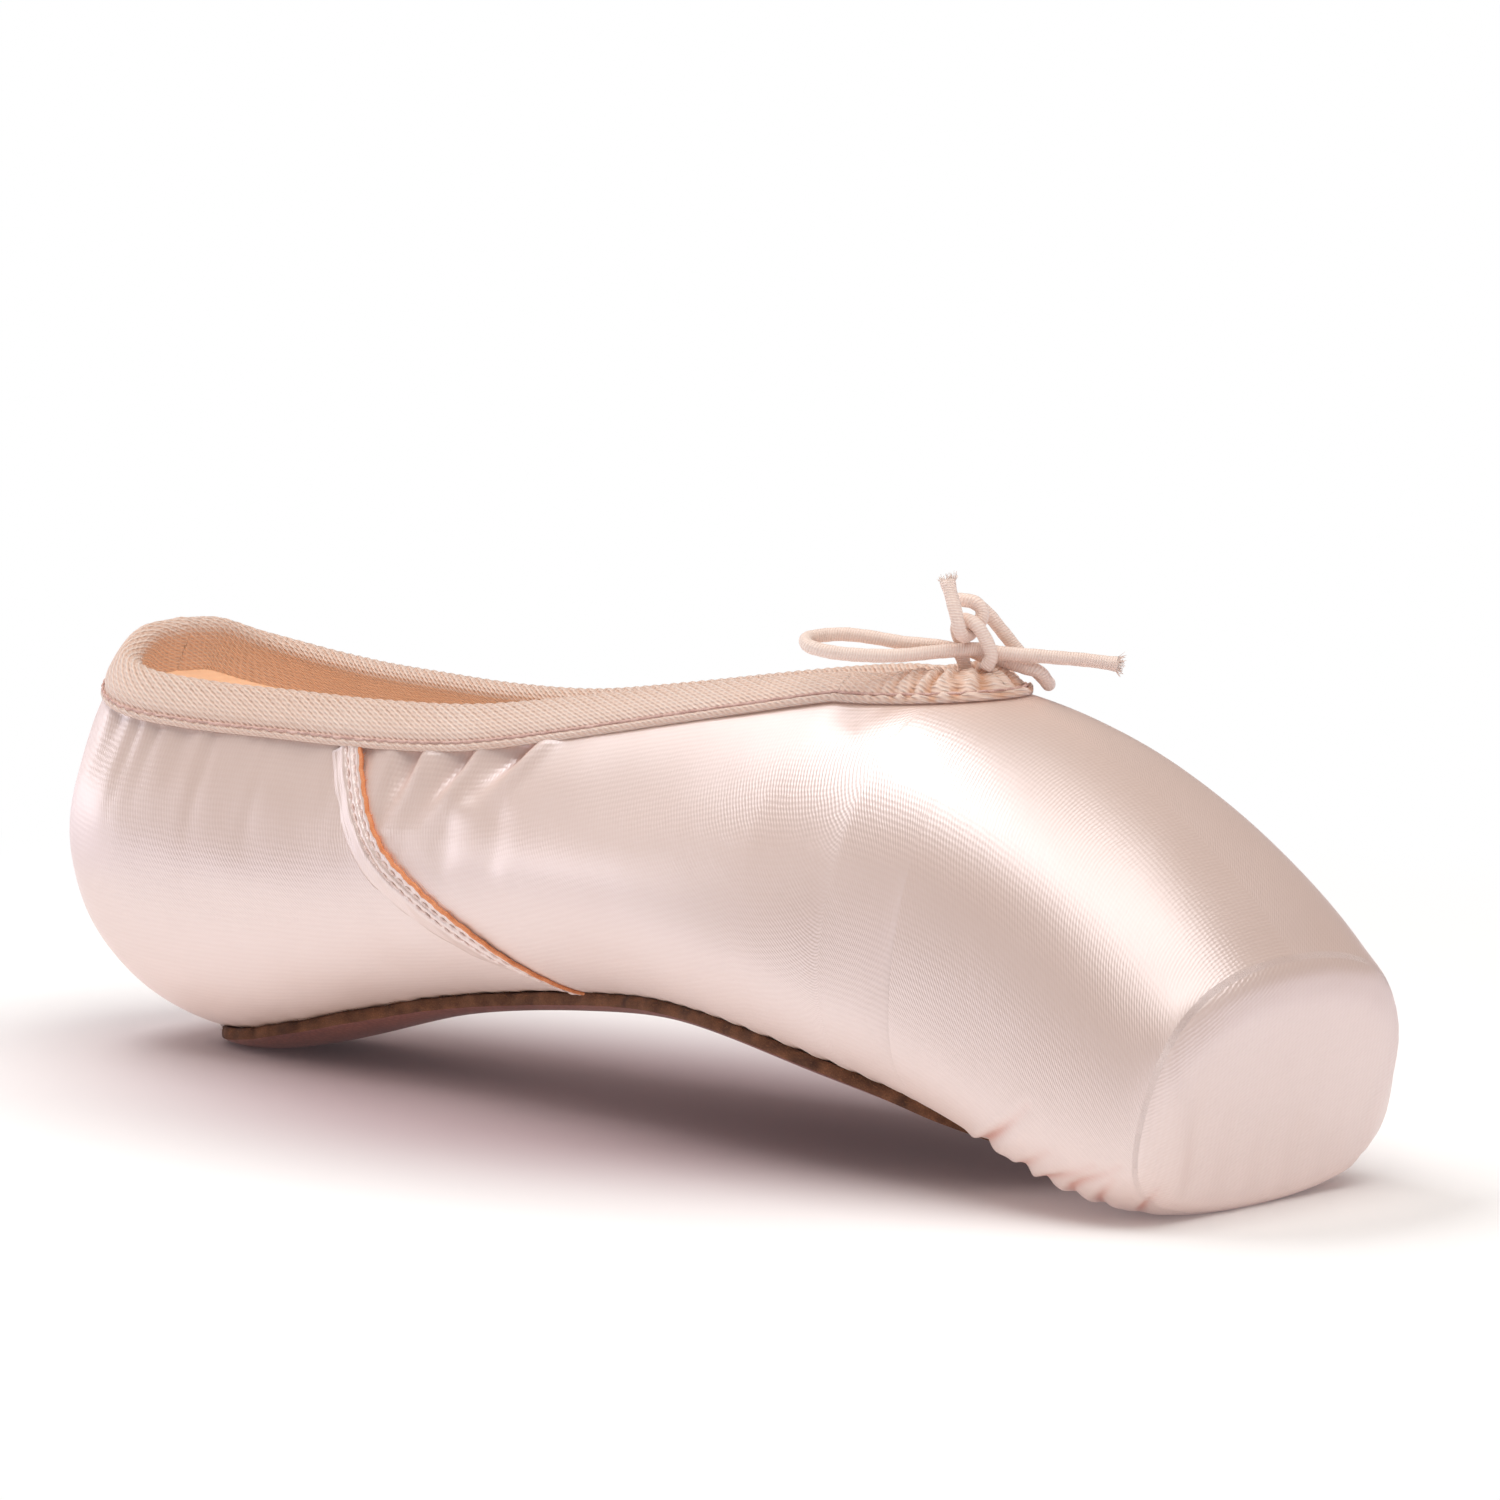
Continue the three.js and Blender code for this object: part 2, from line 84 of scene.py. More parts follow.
# The last, as in part.mjs: x, turn, wide, girth, top, lift, sole, low and up for each section
shoe = {
    "length": 237, "halfBall": 35, "arch": 16, "instep": 72, "gap": 0.3,
    "quarterWall": 1.5, "boxWall": 2.8, "outsole": 2.3, "outsoleEdge": 1.7, "insole": 1.8,
    "lean": 0.24, "dome": 0.4,
}
lastRows = [
    (0.118, 180, 0.872, 0.396, 1.180, 1, 0.020, 1.85, 1.52),
    (0.118, 158, 0.904, 0.436, 1.186, 1, 0.000, 1.85, 1.54),
    (0.118, 135, 0.920, 0.465, 1.187, 1, -0.040, 1.95, 1.44),
    (0.121, 112, 0.914, 0.479, 1.168, 1, -0.080, 2.05, 1.35),
    (0.150, 95, 0.840, 0.474, 1.124, 1, -0.085, 2.20, 1.29),
    (0.220, 90, 0.760, 0.464, 1.086, 1, 0.165, 2.30, 1.30),
    (0.300, 90, 0.725, 0.481, 1.046, 0.8, 0.576, 2.30, 1.25),
    (0.380, 90, 0.722, 0.501, 1.010, 0.6, 0.802, 2.30, 1.25),
    (0.460, 90, 0.784, 0.527, 0.990, 0.4, 0.961, 2.30, 1.25),
    (0.540, 90, 0.882, 0.541, 0.986, 0.2, 1.081, 2.30, 1.30),
    (0.620, 90, 0.965, 0.515, 0.990, 0, 1.007, 2.30, 1.50),
    (0.700, 90, 1.000, 0.462, 0.991, 0, 0.793, 2.30, 1.80),
    (0.780, 90, 0.985, 0.395, 0.972, 0, 0.620, 2.30, 2.10),
    (0.860, 90, 0.975, 0.290, 0.877, 0, 0.268, 2.40, 2.40),
    (0.930, 90, 0.932, 0.204, 0.712, 0, -0.060, 2.50, 2.50),
    (1.000, 90, 0.854, 0.158, 0.491, 0, -0.100, 2.60, 2.60),
]
columnAngles = np.radians([-90, -70, -48, -24, 0, 24, 46, 68, 90])
platformShares = [0.66, 0.33, 0]
toeRow, topColumn = len(lastRows) + len(platformShares) - 1, len(columnAngles) - 1
mirror = np.array([1, -1, 1])
onMiddle = 1e-5  # closer to the middle plane than this is on it
weld = 0.004  # points this close are one
walkStride = 1.2


def smooth(value, low, high):
    t = np.clip((np.asarray(value, float) - low) / (high - low), 0, 1)
    return t * t * (3 - 2 * t)


def between(value, start, full, fade, end):  # rises from 0 to 1, then falls again
    return smooth(value, start, full) * (1 - smooth(value, fade, end))


def bell(distance, width):  # 1 in the middle, falling on both sides
    return np.exp(-((distance / width) ** 2))


def unit(vectors):
    return vectors / np.maximum(np.linalg.norm(vectors, axis=-1, keepdims=True), 1e-12)


def dot(a, b):
    return (a * b).sum(-1, keepdims=True)


def controlNet():
    net = []
    under = columnAngles < 0
    rise = np.sign(np.sin(columnAngles))
    for index, (x, turn, wide, girth, top, lift, sole, low, up) in enumerate(lastRows):
        soleZ = lift * (shoe["outsole"] + shoe["gap"]) + sole * shoe["arch"]
        girthZ, topZ = girth * shoe["instep"], top * shoe["instep"]
        power = 2 / np.where(under, low, up)
        reach = wide * shoe["halfBall"] * np.clip(np.cos(columnAngles), 0, None) ** power
        tall = np.where(under, girthZ - soleZ, topZ - girthZ)
        z = girthZ + tall * rise * np.abs(np.sin(columnAngles)) ** power
        lean = max(0, index - len(lastRows) + 3) / 2 * shoe["lean"] * (z - (topZ + soleZ) / 2)
        turned = math.radians(turn)
        x = (x - 0.5) * shoe["length"] + reach * math.cos(turned) + lean
        net.append(np.stack([x, reach * math.sin(turned), z], -1))
    rim = net[-1]
    middle = (rim[0] + rim[-1]) / 2 * [1, 0, 1]
    for share in platformShares:
        net.append(middle + (rim - middle) * share + [shoe["dome"] * (1 - share * share), 0, 0])
    net = np.array([net[1] * mirror, *net, 2 * net[-1] - net[-2]])
    return np.concatenate([net[:, 1:2] * mirror, net, net[:, -2:-1] * mirror], axis=1)


net = controlNet()


def splineWeights(t):
    weights = [(1 - t) ** 3, 3 * t**3 - 6 * t**2 + 4, -3 * t**3 + 3 * t**2 + 3 * t + 1, t**3]
    slopes = [-((1 - t) ** 2), 3 * t**2 - 4 * t, -3 * t**2 + 2 * t + 1, t**2]
    return np.stack(weights, -1) / 6, np.stack(slopes, -1) / 2


def lastFrame(row, column):  # point, outward normal and both directions at places on the last
    row, column = np.broadcast_arrays(np.asarray(row, float), np.asarray(column, float))
    i = np.clip(np.floor(row).astype(int), 0, toeRow - 1)
    k = np.clip(np.floor(column).astype(int), 0, topColumn - 1)
    (a, slopeA), (b, slopeB) = splineWeights(row - i), splineWeights(column - k)
    near = net[(i[..., None] + np.arange(4))[..., :, None], (k[..., None] + np.arange(4))[..., None, :]]
    mix = lambda p, q: np.einsum("...r,...c,...rcx->...x", p, q, near, optimize=True)
    point, alongRow, alongColumn = mix(a, b), mix(slopeA, b), mix(a, slopeB)
    normal = np.cross(alongColumn, alongRow)
    flat = np.linalg.norm(normal, axis=-1) < 1e-6
    pole = np.where((row > 0)[..., None], [1, 0, -shoe["lean"]], [0, 0, -1.0])
    normal = unit(np.where(flat[..., None], pole, normal))
    return point, normal, alongRow, alongColumn


def lastAt(row, column):
    return lastFrame(row, column)[:2]


def throughKnots(keys, values, at):
    keys, values, at = np.asarray(keys, float), np.asarray(values, float), np.asarray(at, float)
    k = np.clip(np.searchsorted(keys, at, side="right") - 1, 0, len(keys) - 2)
    number = np.arange(len(keys))
    before, after = np.maximum(number - 1, 0), np.minimum(number + 1, len(keys) - 1)
    slope = (values[after] - values[before]) / (keys[after] - keys[before])
    span = keys[k + 1] - keys[k]
    t = (at - keys[k]) / span
    turn = span * (slope[k] * (t - t * t) * (1 - t) - slope[k + 1] * (t - t * t) * t)
    return values[k] + (values[k + 1] - values[k]) * (3 * t * t - 2 * t**3) + turn


# Lines on the last as row and column, each ending on the middle plane at its last row
lines = {
    "collar": {
        "meets": 8, "end": 11.7,
        "knots": [(0, 6.00), (1, 5.92), (2, 5.76), (3, 5.71), (4, 5.78), (5, 5.88), (6, 5.98),
                  (7, 6.13), (8, 6.41), (9, 6.73), (10, 7.09), (10.8, 7.46)],
    },
    "outsole": {
        "meets": 0, "end": 13.0,
        "knots": [(0, 0.46), (1, 0.46), (2, 0.50), (3, 0.68), (4, 0.95), (5, 1.06), (6, 0.88),
                  (7, 0.84), (8, 1.04), (9, 1.32), (10, 1.64), (11, 1.78), (12, 1.60)],
    },
    "opening": {
        "meets": 0, "end": 12.4,
        "knots": [(0, 0.22), (2, 0.26), (3, 0.36), (5, 0.62), (7, 0.48), (9, 0.86), (10.5, 1.14),
                  (11.7, 1.10)],
    },
    "insole": {
        "meets": 0, "end": 12.9,
        "knots": [(0, 1.30), (3, 1.40), (5, 1.50), (7, 1.45), (9, 1.75), (10.5, 1.95), (12, 1.60)],
    },
}
seamKnots = [(0.9, 8.10), (1.9, 8.00), (2.9, 7.55), (3.7, 6.97), (4.3, 6.53), (5.1, 6.13), (6.2, 5.66)]


def lineColumn(name, row):
    line, row = lines[name], np.asarray(row, float)
    keys, values = zip(*line["knots"])
    share = np.clip((row - keys[-1]) / (line["end"] - keys[-1]), 0, 1)
    rounded = line["meets"] + (values[-1] - line["meets"]) * np.sqrt(1 - share * share)
    return np.where(row <= keys[-1], throughKnots(keys, values, np.minimum(row, keys[-1])), rounded)


def wallAt(row):
    return shoe["quarterWall"] + (shoe["boxWall"] - shoe["quarterWall"]) * smooth(row, 7, 12)


def evenRows(start, stop, step, column):  # rows the same length apart, measured along a column
    fine = np.linspace(start, stop, 400)
    places = lastAt(fine, column)[0]
    length = arcLength(places)
    return np.interp(np.linspace(0, length[-1], max(2, round(length[-1] / step) + 1)), length, fine)


def endRows(name, count):  # rows of a line's round end, closer together toward its tip
    start, end = lines[name]["knots"][-1][0], lines[name]["end"]
    return start + (end - start) * np.sin(np.pi / 2 * np.arange(1, count + 1) / count)


def arcLength(points):
    return np.concatenate([[0], np.cumsum(np.linalg.norm(np.diff(points, axis=0), axis=1))])


# part.mjs centres the upper's box on the origin, so the last is moved along X as there
shift = np.array([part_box("upper")[0].x / mm - lastAt(0, np.linspace(0, topColumn, 400))[0][:, 0].min(), 0, 0])


def walk(row, column, direction, length):  # places at a length from others along the last, and normals
    row, column = np.broadcast_arrays(np.asarray(row, float), np.asarray(column, float))
    steps = max(1, math.ceil(np.abs(length).max() / walkStride))
    for _ in range(steps):
        _, normal, r, c = lastFrame(row, column)
        heading = unit(direction - dot(direction, normal) * normal)
        pairs = ((r, r), (c, c), (r, c), (heading, r), (heading, c))
        rr, cc, rc, hr, hc = (dot(*pair)[..., 0] for pair in pairs)
        part = length / steps / (rr * cc - rc * rc)
        row = np.clip(row + (hr * cc - hc * rc) * part, 0, toeRow)
        column = np.clip(column + (hc * rr - hr * rc) * part, 0, topColumn)
    return lastAt(row, column)


# Mesh helpers. A sheet is a table of points; its faces turn outwards as part.mjs winds them.
class Sheets:
    def __init__(self):
        self.points, self.quads, self.kinds, self.uvs, self.marks = [], [], [], [], []
        self.count = 0

    def add(self, table, kind=0, flip=False, uv=None, mark=None):
        rows, columns = table.shape[:2]
        number = self.count + np.arange(rows * columns).reshape(rows, columns)
        corners = [number[:-1, :-1], number[:-1, 1:], number[1:, 1:], number[1:, :-1]]
        quad = np.stack(corners, -1).reshape(-1, 4)
        self.points.append(table.reshape(-1, 3))
        self.quads.append(quad[:, ::-1] if flip else quad)
        self.kinds.append(np.full(len(quad), kind))
        self.uvs.append(np.zeros((rows * columns, 2)) if uv is None else uv.reshape(-1, 2))
        self.marks.append(np.zeros((rows * columns, 2)) if mark is None else mark.reshape(-1, 2))
        self.count += rows * columns
        return self

    def build(self, name, materials):
        points = np.concatenate(self.points)
        points[np.abs(points[:, 1]) < onMiddle, 1] = 0
        quads, kinds = np.concatenate(self.quads), np.concatenate(self.kinds)
        uvs, marks = np.concatenate(self.uvs), np.concatenate(self.marks)
        cells = np.round(points / weld).astype(np.int64)
        _, first, number = np.unique(cells, axis=0, return_index=True, return_inverse=True)
        number = number.ravel()
        faces, corners, keep = [], [], []
        for k, quad in enumerate(quads.tolist()):
            seen = []
            for corner in quad:
                if number[corner] not in [number[c] for c in seen]:
                    seen.append(corner)
            if len(seen) > 2:
                faces.append([int(number[c]) for c in seen])
                corners.extend(seen)
                keep.append(kinds[k])
        mesh = bpy.data.meshes.new(name)
        mesh.from_pydata(((points[first] + shift) * mm).tolist(), [], faces)
        layer = mesh.uv_layers.new(name="UVMap")
        layer.data.foreach_set("uv", uvs[corners].astype(np.float32).ravel())
        # two tints: painted shade in creases (glue in the toe pleats), and glue with painted shade above the
        # outsole
        for k, label in enumerate(("shadeAndGlue", "soleGlueAndShade")):
            attribute = mesh.attributes.new(label, "FLOAT", "POINT")
            attribute.data.foreach_set("value", marks[first, k].astype(np.float32))
        for material in materials:
            mesh.materials.append(material)
        mesh.polygons.foreach_set("material_index", np.array(keep, np.int32))
        mesh.polygons.foreach_set("use_smooth", np.ones(len(faces), bool))
        mesh.update()
        print(f"  {name}: {sum(len(f) - 2 for f in faces)} triangles")
        return newObject(name, mesh)


# Shader helpers
def linear(hexCode):  # scene colour of a screen colour
    values = [int(hexCode[k : k + 2], 16) / 255 for k in (0, 2, 4)]
    return (*[v / 12.92 if v <= 0.04045 else ((v + 0.055) / 1.055) ** 2.4 for v in values], 1)


def fill(tree, made, inputs):
    for name, value in inputs.items():
        if isinstance(value, bpy.types.NodeSocket):
            tree.links.new(value, made.inputs[name])
        else:
            made.inputs[name].default_value = value
    return made


def node(tree, kind, inputs=(), **settings):
    made = tree.nodes.new(kind)
    for name, value in settings.items():
        setattr(made, name, value)
    return fill(tree, made, dict(inputs))


def calc(tree, operation, a, b=0.0, c=0.0):
    return node(tree, "ShaderNodeMath", {0: a, 1: b, 2: c}, operation=operation).outputs[0]


def vectorMath(tree, operation, inputs):
    return node(tree, "ShaderNodeVectorMath", inputs, operation=operation).outputs


def mixColour(tree, share, a, b, blend="MIX"):
    mixed = node(tree, "ShaderNodeMix", {0: share, 6: a, 7: b}, data_type="RGBA", blend_type=blend)
    return mixed.outputs[2]


socketKinds = {type(None): "NodeSocketVector", tuple: "NodeSocketColor", float: "NodeSocketFloat"}


def mapRange(tree, value, *limits, **settings):  # limits are the range given, then the range made
    inputs = {0: value, **dict(enumerate(limits, 1))}
    return node(tree, "ShaderNodeMapRange", inputs, **settings).outputs[0]


def newGroup(name, inputs, outputs):
    tree = bpy.data.node_groups.new(name, "ShaderNodeTree")
    for label, value in inputs.items():
        socket = tree.interface.new_socket(label, in_out="INPUT", socket_type=socketKinds[type(value)])
        if value is not None:
            socket.default_value = value
    for label, kind in outputs.items():
        tree.interface.new_socket(label, in_out="OUTPUT", socket_type=kind)
    source = tree.nodes.new("NodeGroupInput")
    target = tree.nodes.new("NodeGroupOutput")
    return tree, source.outputs, target.inputs


weaveLabels = ("Warp per mm", "Warp slant", "Weft per mm", "Weft share", "Irregularity")


def threadWave(tree, position, wander, perMm):  # height of one family of threads, from 0 to 1
    moved = calc(tree, "ADD", position, wander)
    phase = calc(tree, "MULTIPLY", moved, calc(tree, "MULTIPLY", perMm, 2 * math.pi))
    return calc(tree, "MULTIPLY_ADD", calc(tree, "SINE", phase), 0.5, 0.5)


def weaveGroup():  # two families of threads as a height, from a position in mm
    inputs = {"Vector": None, **dict(zip(weaveLabels, (1.8, 0.5, 1.0, 0.4, 0.3)))}
    tree, given, result = newGroup("weave", inputs, {"Height": "NodeSocketFloat"})
    parts = node(tree, "ShaderNodeSeparateXYZ", {0: given["Vector"]}).outputs
    noise = node(tree, "ShaderNodeTexNoise", {"Vector": given["Vector"], "Scale": 0.35, "Detail": 2.0})
    centred = calc(tree, "SUBTRACT", noise.outputs[0], 0.5)
    wander = calc(tree, "MULTIPLY", centred, given["Irregularity"])
    slanted = calc(tree, "MULTIPLY_ADD", parts[1], given["Warp slant"], parts[0])
    warp = threadWave(tree, slanted, wander, given["Warp per mm"])
    weft = threadWave(tree, parts[1], wander, given["Weft per mm"])
    mixed = node(tree, "ShaderNodeMix", {0: given["Weft share"], 2: warp, 3: weft}).outputs[0]
    tree.links.new(mixed, result["Height"])
    return tree


def mottleGroup():  # cloudy variation of a colour at one scale
    white, grey = (1, 1, 1, 1), (0.5, 0.5, 0.5, 1)
    inputs = {"Vector": None, "Size mm": 20.0, "Amount": 0.5, "Light": white, "Dark": grey}
    tree, given, result = newGroup("mottle", inputs, {"Color": "NodeSocketColor"})
    scale = calc(tree, "DIVIDE", 1.0, calc(tree, "MULTIPLY", given["Size mm"], mm))
    detail = {"Vector": given["Vector"], "Scale": scale, "Detail": 3.0, "Roughness": 0.5}
    noise = node(tree, "ShaderNodeTexNoise", detail).outputs[0]
    spread = mapRange(tree, noise, 0.3, 0.7, 0.0, 1.0)
    mask = calc(tree, "MULTIPLY", spread, given["Amount"])
    tree.links.new(mixColour(tree, mask, given["Light"], given["Dark"]), result["Color"])
    return tree


weave, mottle = weaveGroup(), mottleGroup()


def newMaterial(name, sockets):
    material = bpy.data.materials.new(name)
    material.use_nodes = True
    tree = material.node_tree
    shader = tree.nodes["Principled BSDF"]
    for label, value in sockets.items():
        shader.inputs[label].default_value = value
    return material, tree, shader


def groupNode(tree, group, inputs):
    made = tree.nodes.new("ShaderNodeGroup")
    made.node_tree = group
    return fill(tree, made, inputs)


def cloudColour(tree, place, size, amount, light, dark):
    inputs = {"Vector": place, "Size mm": size, "Amount": amount}
    inputs.update({"Light": linear(light), "Dark": linear(dark)})
    return groupNode(tree, mottle, inputs).outputs["Color"]


def addBump(tree, shader, strength, relief, height):
    bump = node(tree, "ShaderNodeBump", {"Strength": strength, "Distance": relief * mm, "Height": height})
    tree.links.new(bump.outputs[0], shader.inputs["Normal"])


def clothMaterial(name, settings):
    material, tree, shader = newMaterial(name, settings["sockets"])
    place = tree.nodes.new("ShaderNodeTexCoord")
    threads = {"Vector": place.outputs["UV"], **dict(zip(weaveLabels, settings["weave"]))}
    height = groupNode(tree, weave, threads).outputs["Height"]
    colour = cloudColour(tree, place.outputs["Object"], *settings["mottle"])
    # painted shade: the hollows between threads darken towards a shade colour
    hollow = mapRange(tree, height, 0.0, 1.0, settings["hollow"], 0.0)
    colour = mixColour(tree, hollow, colour, linear(settings["hollowShadeColour"]))
    # marks tint the colour by attribute: painted shade in creases and rib hollows with glue in the toe pleats,
    # and glue with painted shade above the outsole
    for label, tint in settings.get("marks", {}).items():
        mark = node(tree, "ShaderNodeAttribute", attribute_name=label).outputs["Fac"]
        colour = mixColour(tree, mark, colour, linear(tint))
    tree.links.new(colour, shader.inputs["Base Color"])
    addBump(tree, shader, settings["bump"], settings["relief"], height)
    if settings.get("tangent"):
        tangent = node(tree, "ShaderNodeTangent", direction_type="UV_MAP")
        tree.links.new(tangent.outputs[0], shader.inputs["Tangent"])
    return material


# Cloths: the shader's sockets, the weave in the order of its labels, and the mottle's size in mm,
# amount, light and dark colour. Hollows between threads are tinted darker as painted shade, and marks tint by
# an attribute.
finishes = {
    "satin": {
        "sockets": {
            "IOR": 2.3, "Roughness": 0.36, "Specular IOR Level": 1.0, "Specular Tint": linear("fbf9ff"),
            "Anisotropic": 0.55,
        },
        "weave": (1.75, 0.62, 1.1, 0.35, 0.5), "mottle": (26.0, 0.35, "ebd2c5", "e3c3b1"),
        "hollow": 0.24, "hollowShadeColour": "cfa48c", "bump": 0.5, "relief": 0.07, "tangent": True,
        "marks": {"shadeAndGlue": "cf7048", "soleGlueAndShade": "7f5638"},
    },
    "lining": {
        "sockets": {
            # the lining glows a little: painted light, standing in for light that comes through the cloth
            "Roughness": 0.85, "Sheen Weight": 0.25, "Emission Color": linear("f7dcbf"),
            "Emission Strength": 0.32,
        },
        "weave": (1.2, 0.0, 1.2, 0.5, 0.3), "mottle": (9.0, 0.7, "f2dac4", "e9c8aa"),
        "hollow": 0.25, "hollowShadeColour": "d9a878", "bump": 0.5, "relief": 0.12,
    },
    "tape": {
        "sockets": {
            "Roughness": 0.62, "Specular IOR Level": 0.5, "Sheen Weight": 0.25, "Sheen Roughness": 0.4,
        },
        "weave": (0.91, -1.8, 1.4, 0.4, 0.12), "mottle": (14.0, 0.45, "f8e6da", "f1d4c2"),
        "hollow": 0.50, "hollowShadeColour": "d6a080", "bump": 1.0, "relief": 0.22,
        "marks": {"shadeAndGlue": "d0946c", "soleGlueAndShade": "c48e6c"},
    },
    "elastic": {
        "sockets": {
            "Roughness": 0.55, "Specular IOR Level": 0.5, "Sheen Weight": 0.2, "Sheen Roughness": 0.4,
        },
        "weave": (2.6, 0.22, 1.6, 0.2, 0.1), "mottle": (8.0, 0.4, "ffeee2", "fbdfcf"),
        "hollow": 0.30, "hollowShadeColour": "d49f84", "bump": 0.8, "relief": 0.10,
        "marks": {"shadeAndGlue": "dca68a", "soleGlueAndShade": "d8a68c"},
    },
    "board": {
        "sockets": {"Roughness": 0.9},
        "weave": (0.9, 0.0, 0.9, 0.5, 0.4), "mottle": (12.0, 0.6, "ead6c0", "dcc1a2"),
        "hollow": 0.25, "hollowShadeColour": "b8936a", "bump": 0.5, "relief": 0.12,
    },
}
materials = {name: clothMaterial(name, settings) for name, settings in finishes.items()}

# Grained looks: light and dark colour, grain and relief in mm, roughness, size of the clouds in mm
grainLooks = {
    "leather": ("8f5546", "6b362b", 1.1, 0.10, 0.52, 16.0),
    "rawEdge": ("86583c", "46291b", 0.35, 0.20, 0.95, 3.0),
    "seamEdge": ("f0a878", "dd8850", 0.4, 0.12, 0.7, 2.0),
    "thread": ("eccdc2", "c89f94", 0.25, 0.05, 0.6, 1.5),
    "seamThread": ("f3e0d8", "dcc0b6", 0.6, 0.03, 0.6, 1.5),
    "fibre": ("fbf0e8", "f2ddd0", 0.2, 0.03, 0.7, 1.0),
    "suedeFibre": ("a8764e", "6e452c", 0.2, 0.03, 0.9, 1.0),
}
grainSettings = {"mottle": 0.9, "poreWidth": 0.25, "poreDepth": 0.35, "bump": 0.5}


def grainMaterial(name, light, dark, grain, relief, rough, cloud):
    s = grainSettings
    material, tree, shader = newMaterial(name, {"Roughness": rough})
    place = tree.nodes.new("ShaderNodeTexCoord").outputs["Object"]
    colour = cloudColour(tree, place, cloud, s["mottle"], light, dark)
    spacing = {"Vector": place, "Scale": 1 / (grain * mm)}
    cells = node(tree, "ShaderNodeTexVoronoi", spacing, feature="DISTANCE_TO_EDGE").outputs[0]
    pores = mapRange(tree, cells, 0.0, s["poreWidth"], s["poreDepth"], 0.0)
    tree.links.new(mixColour(tree, pores, colour, linear(dark), "MULTIPLY"), shader.inputs["Base Color"])
    addBump(tree, shader, s["bump"], relief, cells)
    return material


materials.update({name: grainMaterial(name, *look) for name, look in grainLooks.items()})
print("stage: materials")

# Elastic drawstring: the two cords, with the routes of part.mjs
drawstring = {
    "centre": (59, 0, 75.6), "diameter": 2.0, "step": 0.45, "sides": 20, "perSpan": 24,
    "waves": ((0.02, 1.9), (0.015, 4.3)),  # size and rate along the cord
    "spread": 0.16, "spreadOver": 1.6, "cap": 0.6, "startHollow": 0.1, "cutHollow": 0.25,
}
routes = {
    "left_loop": [
        (-1.2, 0.4, -6.1), (-1.3, 0.5, -3.9), (-2.1, 0.0, -1.8), (-4.2, -2.0, -1.0), (-8.1, -5.3, -0.5),
        (-12.1, -8.4, 0.3), (-15.1, -10.6, 0.6), (-17.3, -12.8, 0.4), (-17.8, -14.8, 0.2),
        (-17.1, -16.2, -0.1), (-15.7, -17.0, -0.6), (-13.5, -16.5, -1.1), (-11.1, -14.4, -1.6),
        (-6.4, -9.5, -1.9), (-1.9, -4.4, -1.4), (0.4, -1.0, -1.2), (1.7, 0.8, -1.2), (3.4, 2.1, -1.6),
        (8.5, 6.6, -2.2), (12.7, 11.3, -2.8), (15.8, 14.4, -3.4),
    ],
    "right_loop": [
        (3.4, -0.2, -3.7), (4.3, -0.1, -1.9), (3.7, -0.6, 0.5), (2.5, -1.4, 2.6), (0.4, -1.5, 3.2),
        (-2.8, 0.5, 1.4), (-2.8, 1.9, -1.1), (-0.8, 3.5, -2.5), (2.7, 4.6, -3.2), (5.8, 5.8, -4.0),
        (7.3, 6.9, -4.5), (6.9, 9.3, -6.5), (5.5, 10.9, -6.6), (3.6, 11.0, -5.4), (1.7, 9.6, -2.9),
        (-0.1, 7.4, 0.6), (-1.7, 5.7, 3.4), (-2.9, 4.1, 5.0), (-3.4, 1.9, 5.5), (-2.7, 0.7, 5.6),
        (-1.2, 0.3, 5.7), (0.5, 0.9, 5.4), (1.3, 1.3, 4.3), (1.3, 1.0, 2.9), (0.7, -0.1, 1.4),
        (1.1, -2.4, 0.9), (1.4, -3.6, 1.8), (1.1, -4.0, 4.0), (-1.2, -3.4, 8.8),
    ],
}


def smoothRoute(points, step):  # even points on a centripetal curve through a route
    points = np.asarray(points, float)
    padded = np.concatenate([[2 * points[0] - points[1]], points, [2 * points[-1] - points[-2]]])
    fine = []
    for a, b, c, d in zip(padded[:-3], padded[1:-2], padded[2:-1], padded[3:]):
        ab, bc, cd = (np.sqrt(np.linalg.norm(q - p)) for p, q in ((a, b), (b, c), (c, d)))
        start = ((b - a) / ab - (c - a) / (ab + bc) + (c - b) / bc) * bc
        stop = ((c - b) / bc - (d - b) / (bc + cd) + (d - c) / cd) * bc
        t = np.linspace(0, 1, drawstring["perSpan"], endpoint=False)[:, None]
        begun = b * (2 * t**3 - 3 * t**2 + 1) + start * (t**3 - 2 * t**2 + t)
        fine.append(begun + c * (3 * t**2 - 2 * t**3) + stop * (t**3 - t**2))
    fine = np.concatenate([*fine, points[-1:]])
    length = arcLength(fine)
    even = np.linspace(0, length[-1], round(length[-1] / step) + 1)
    return np.stack([np.interp(even, length, fine[:, k]) for k in range(3)], -1)


def tube(path, radius, sides):  # rings round a path, with their UV in mm
    ahead = unit(np.gradient(path, axis=0))
    across = unit(np.cross(ahead[0], [0.2, 0.3, 1.0]))
    frames = []
    for direction in ahead:
        across = unit(across - (across @ direction) * direction)
        frames.append((across, np.cross(direction, across)))
    turn = np.linspace(0, 2 * np.pi, sides + 1)
    radius = np.broadcast_to(radius, (len(path),))
    rings = []
    for place, wide, (a, b) in zip(path, radius, frames):
        rings.append(place + wide * (np.cos(turn)[:, None] * a + np.sin(turn)[:, None] * b))
    rings = np.array(rings)
    rings[:, -1] = rings[:, 0]
    along = np.broadcast_to(arcLength(path)[:, None], (len(path), sides + 1))
    around = np.broadcast_to(turn * drawstring["diameter"] / 2, (len(path), sides + 1))
    return rings, np.stack([along, around], -1)


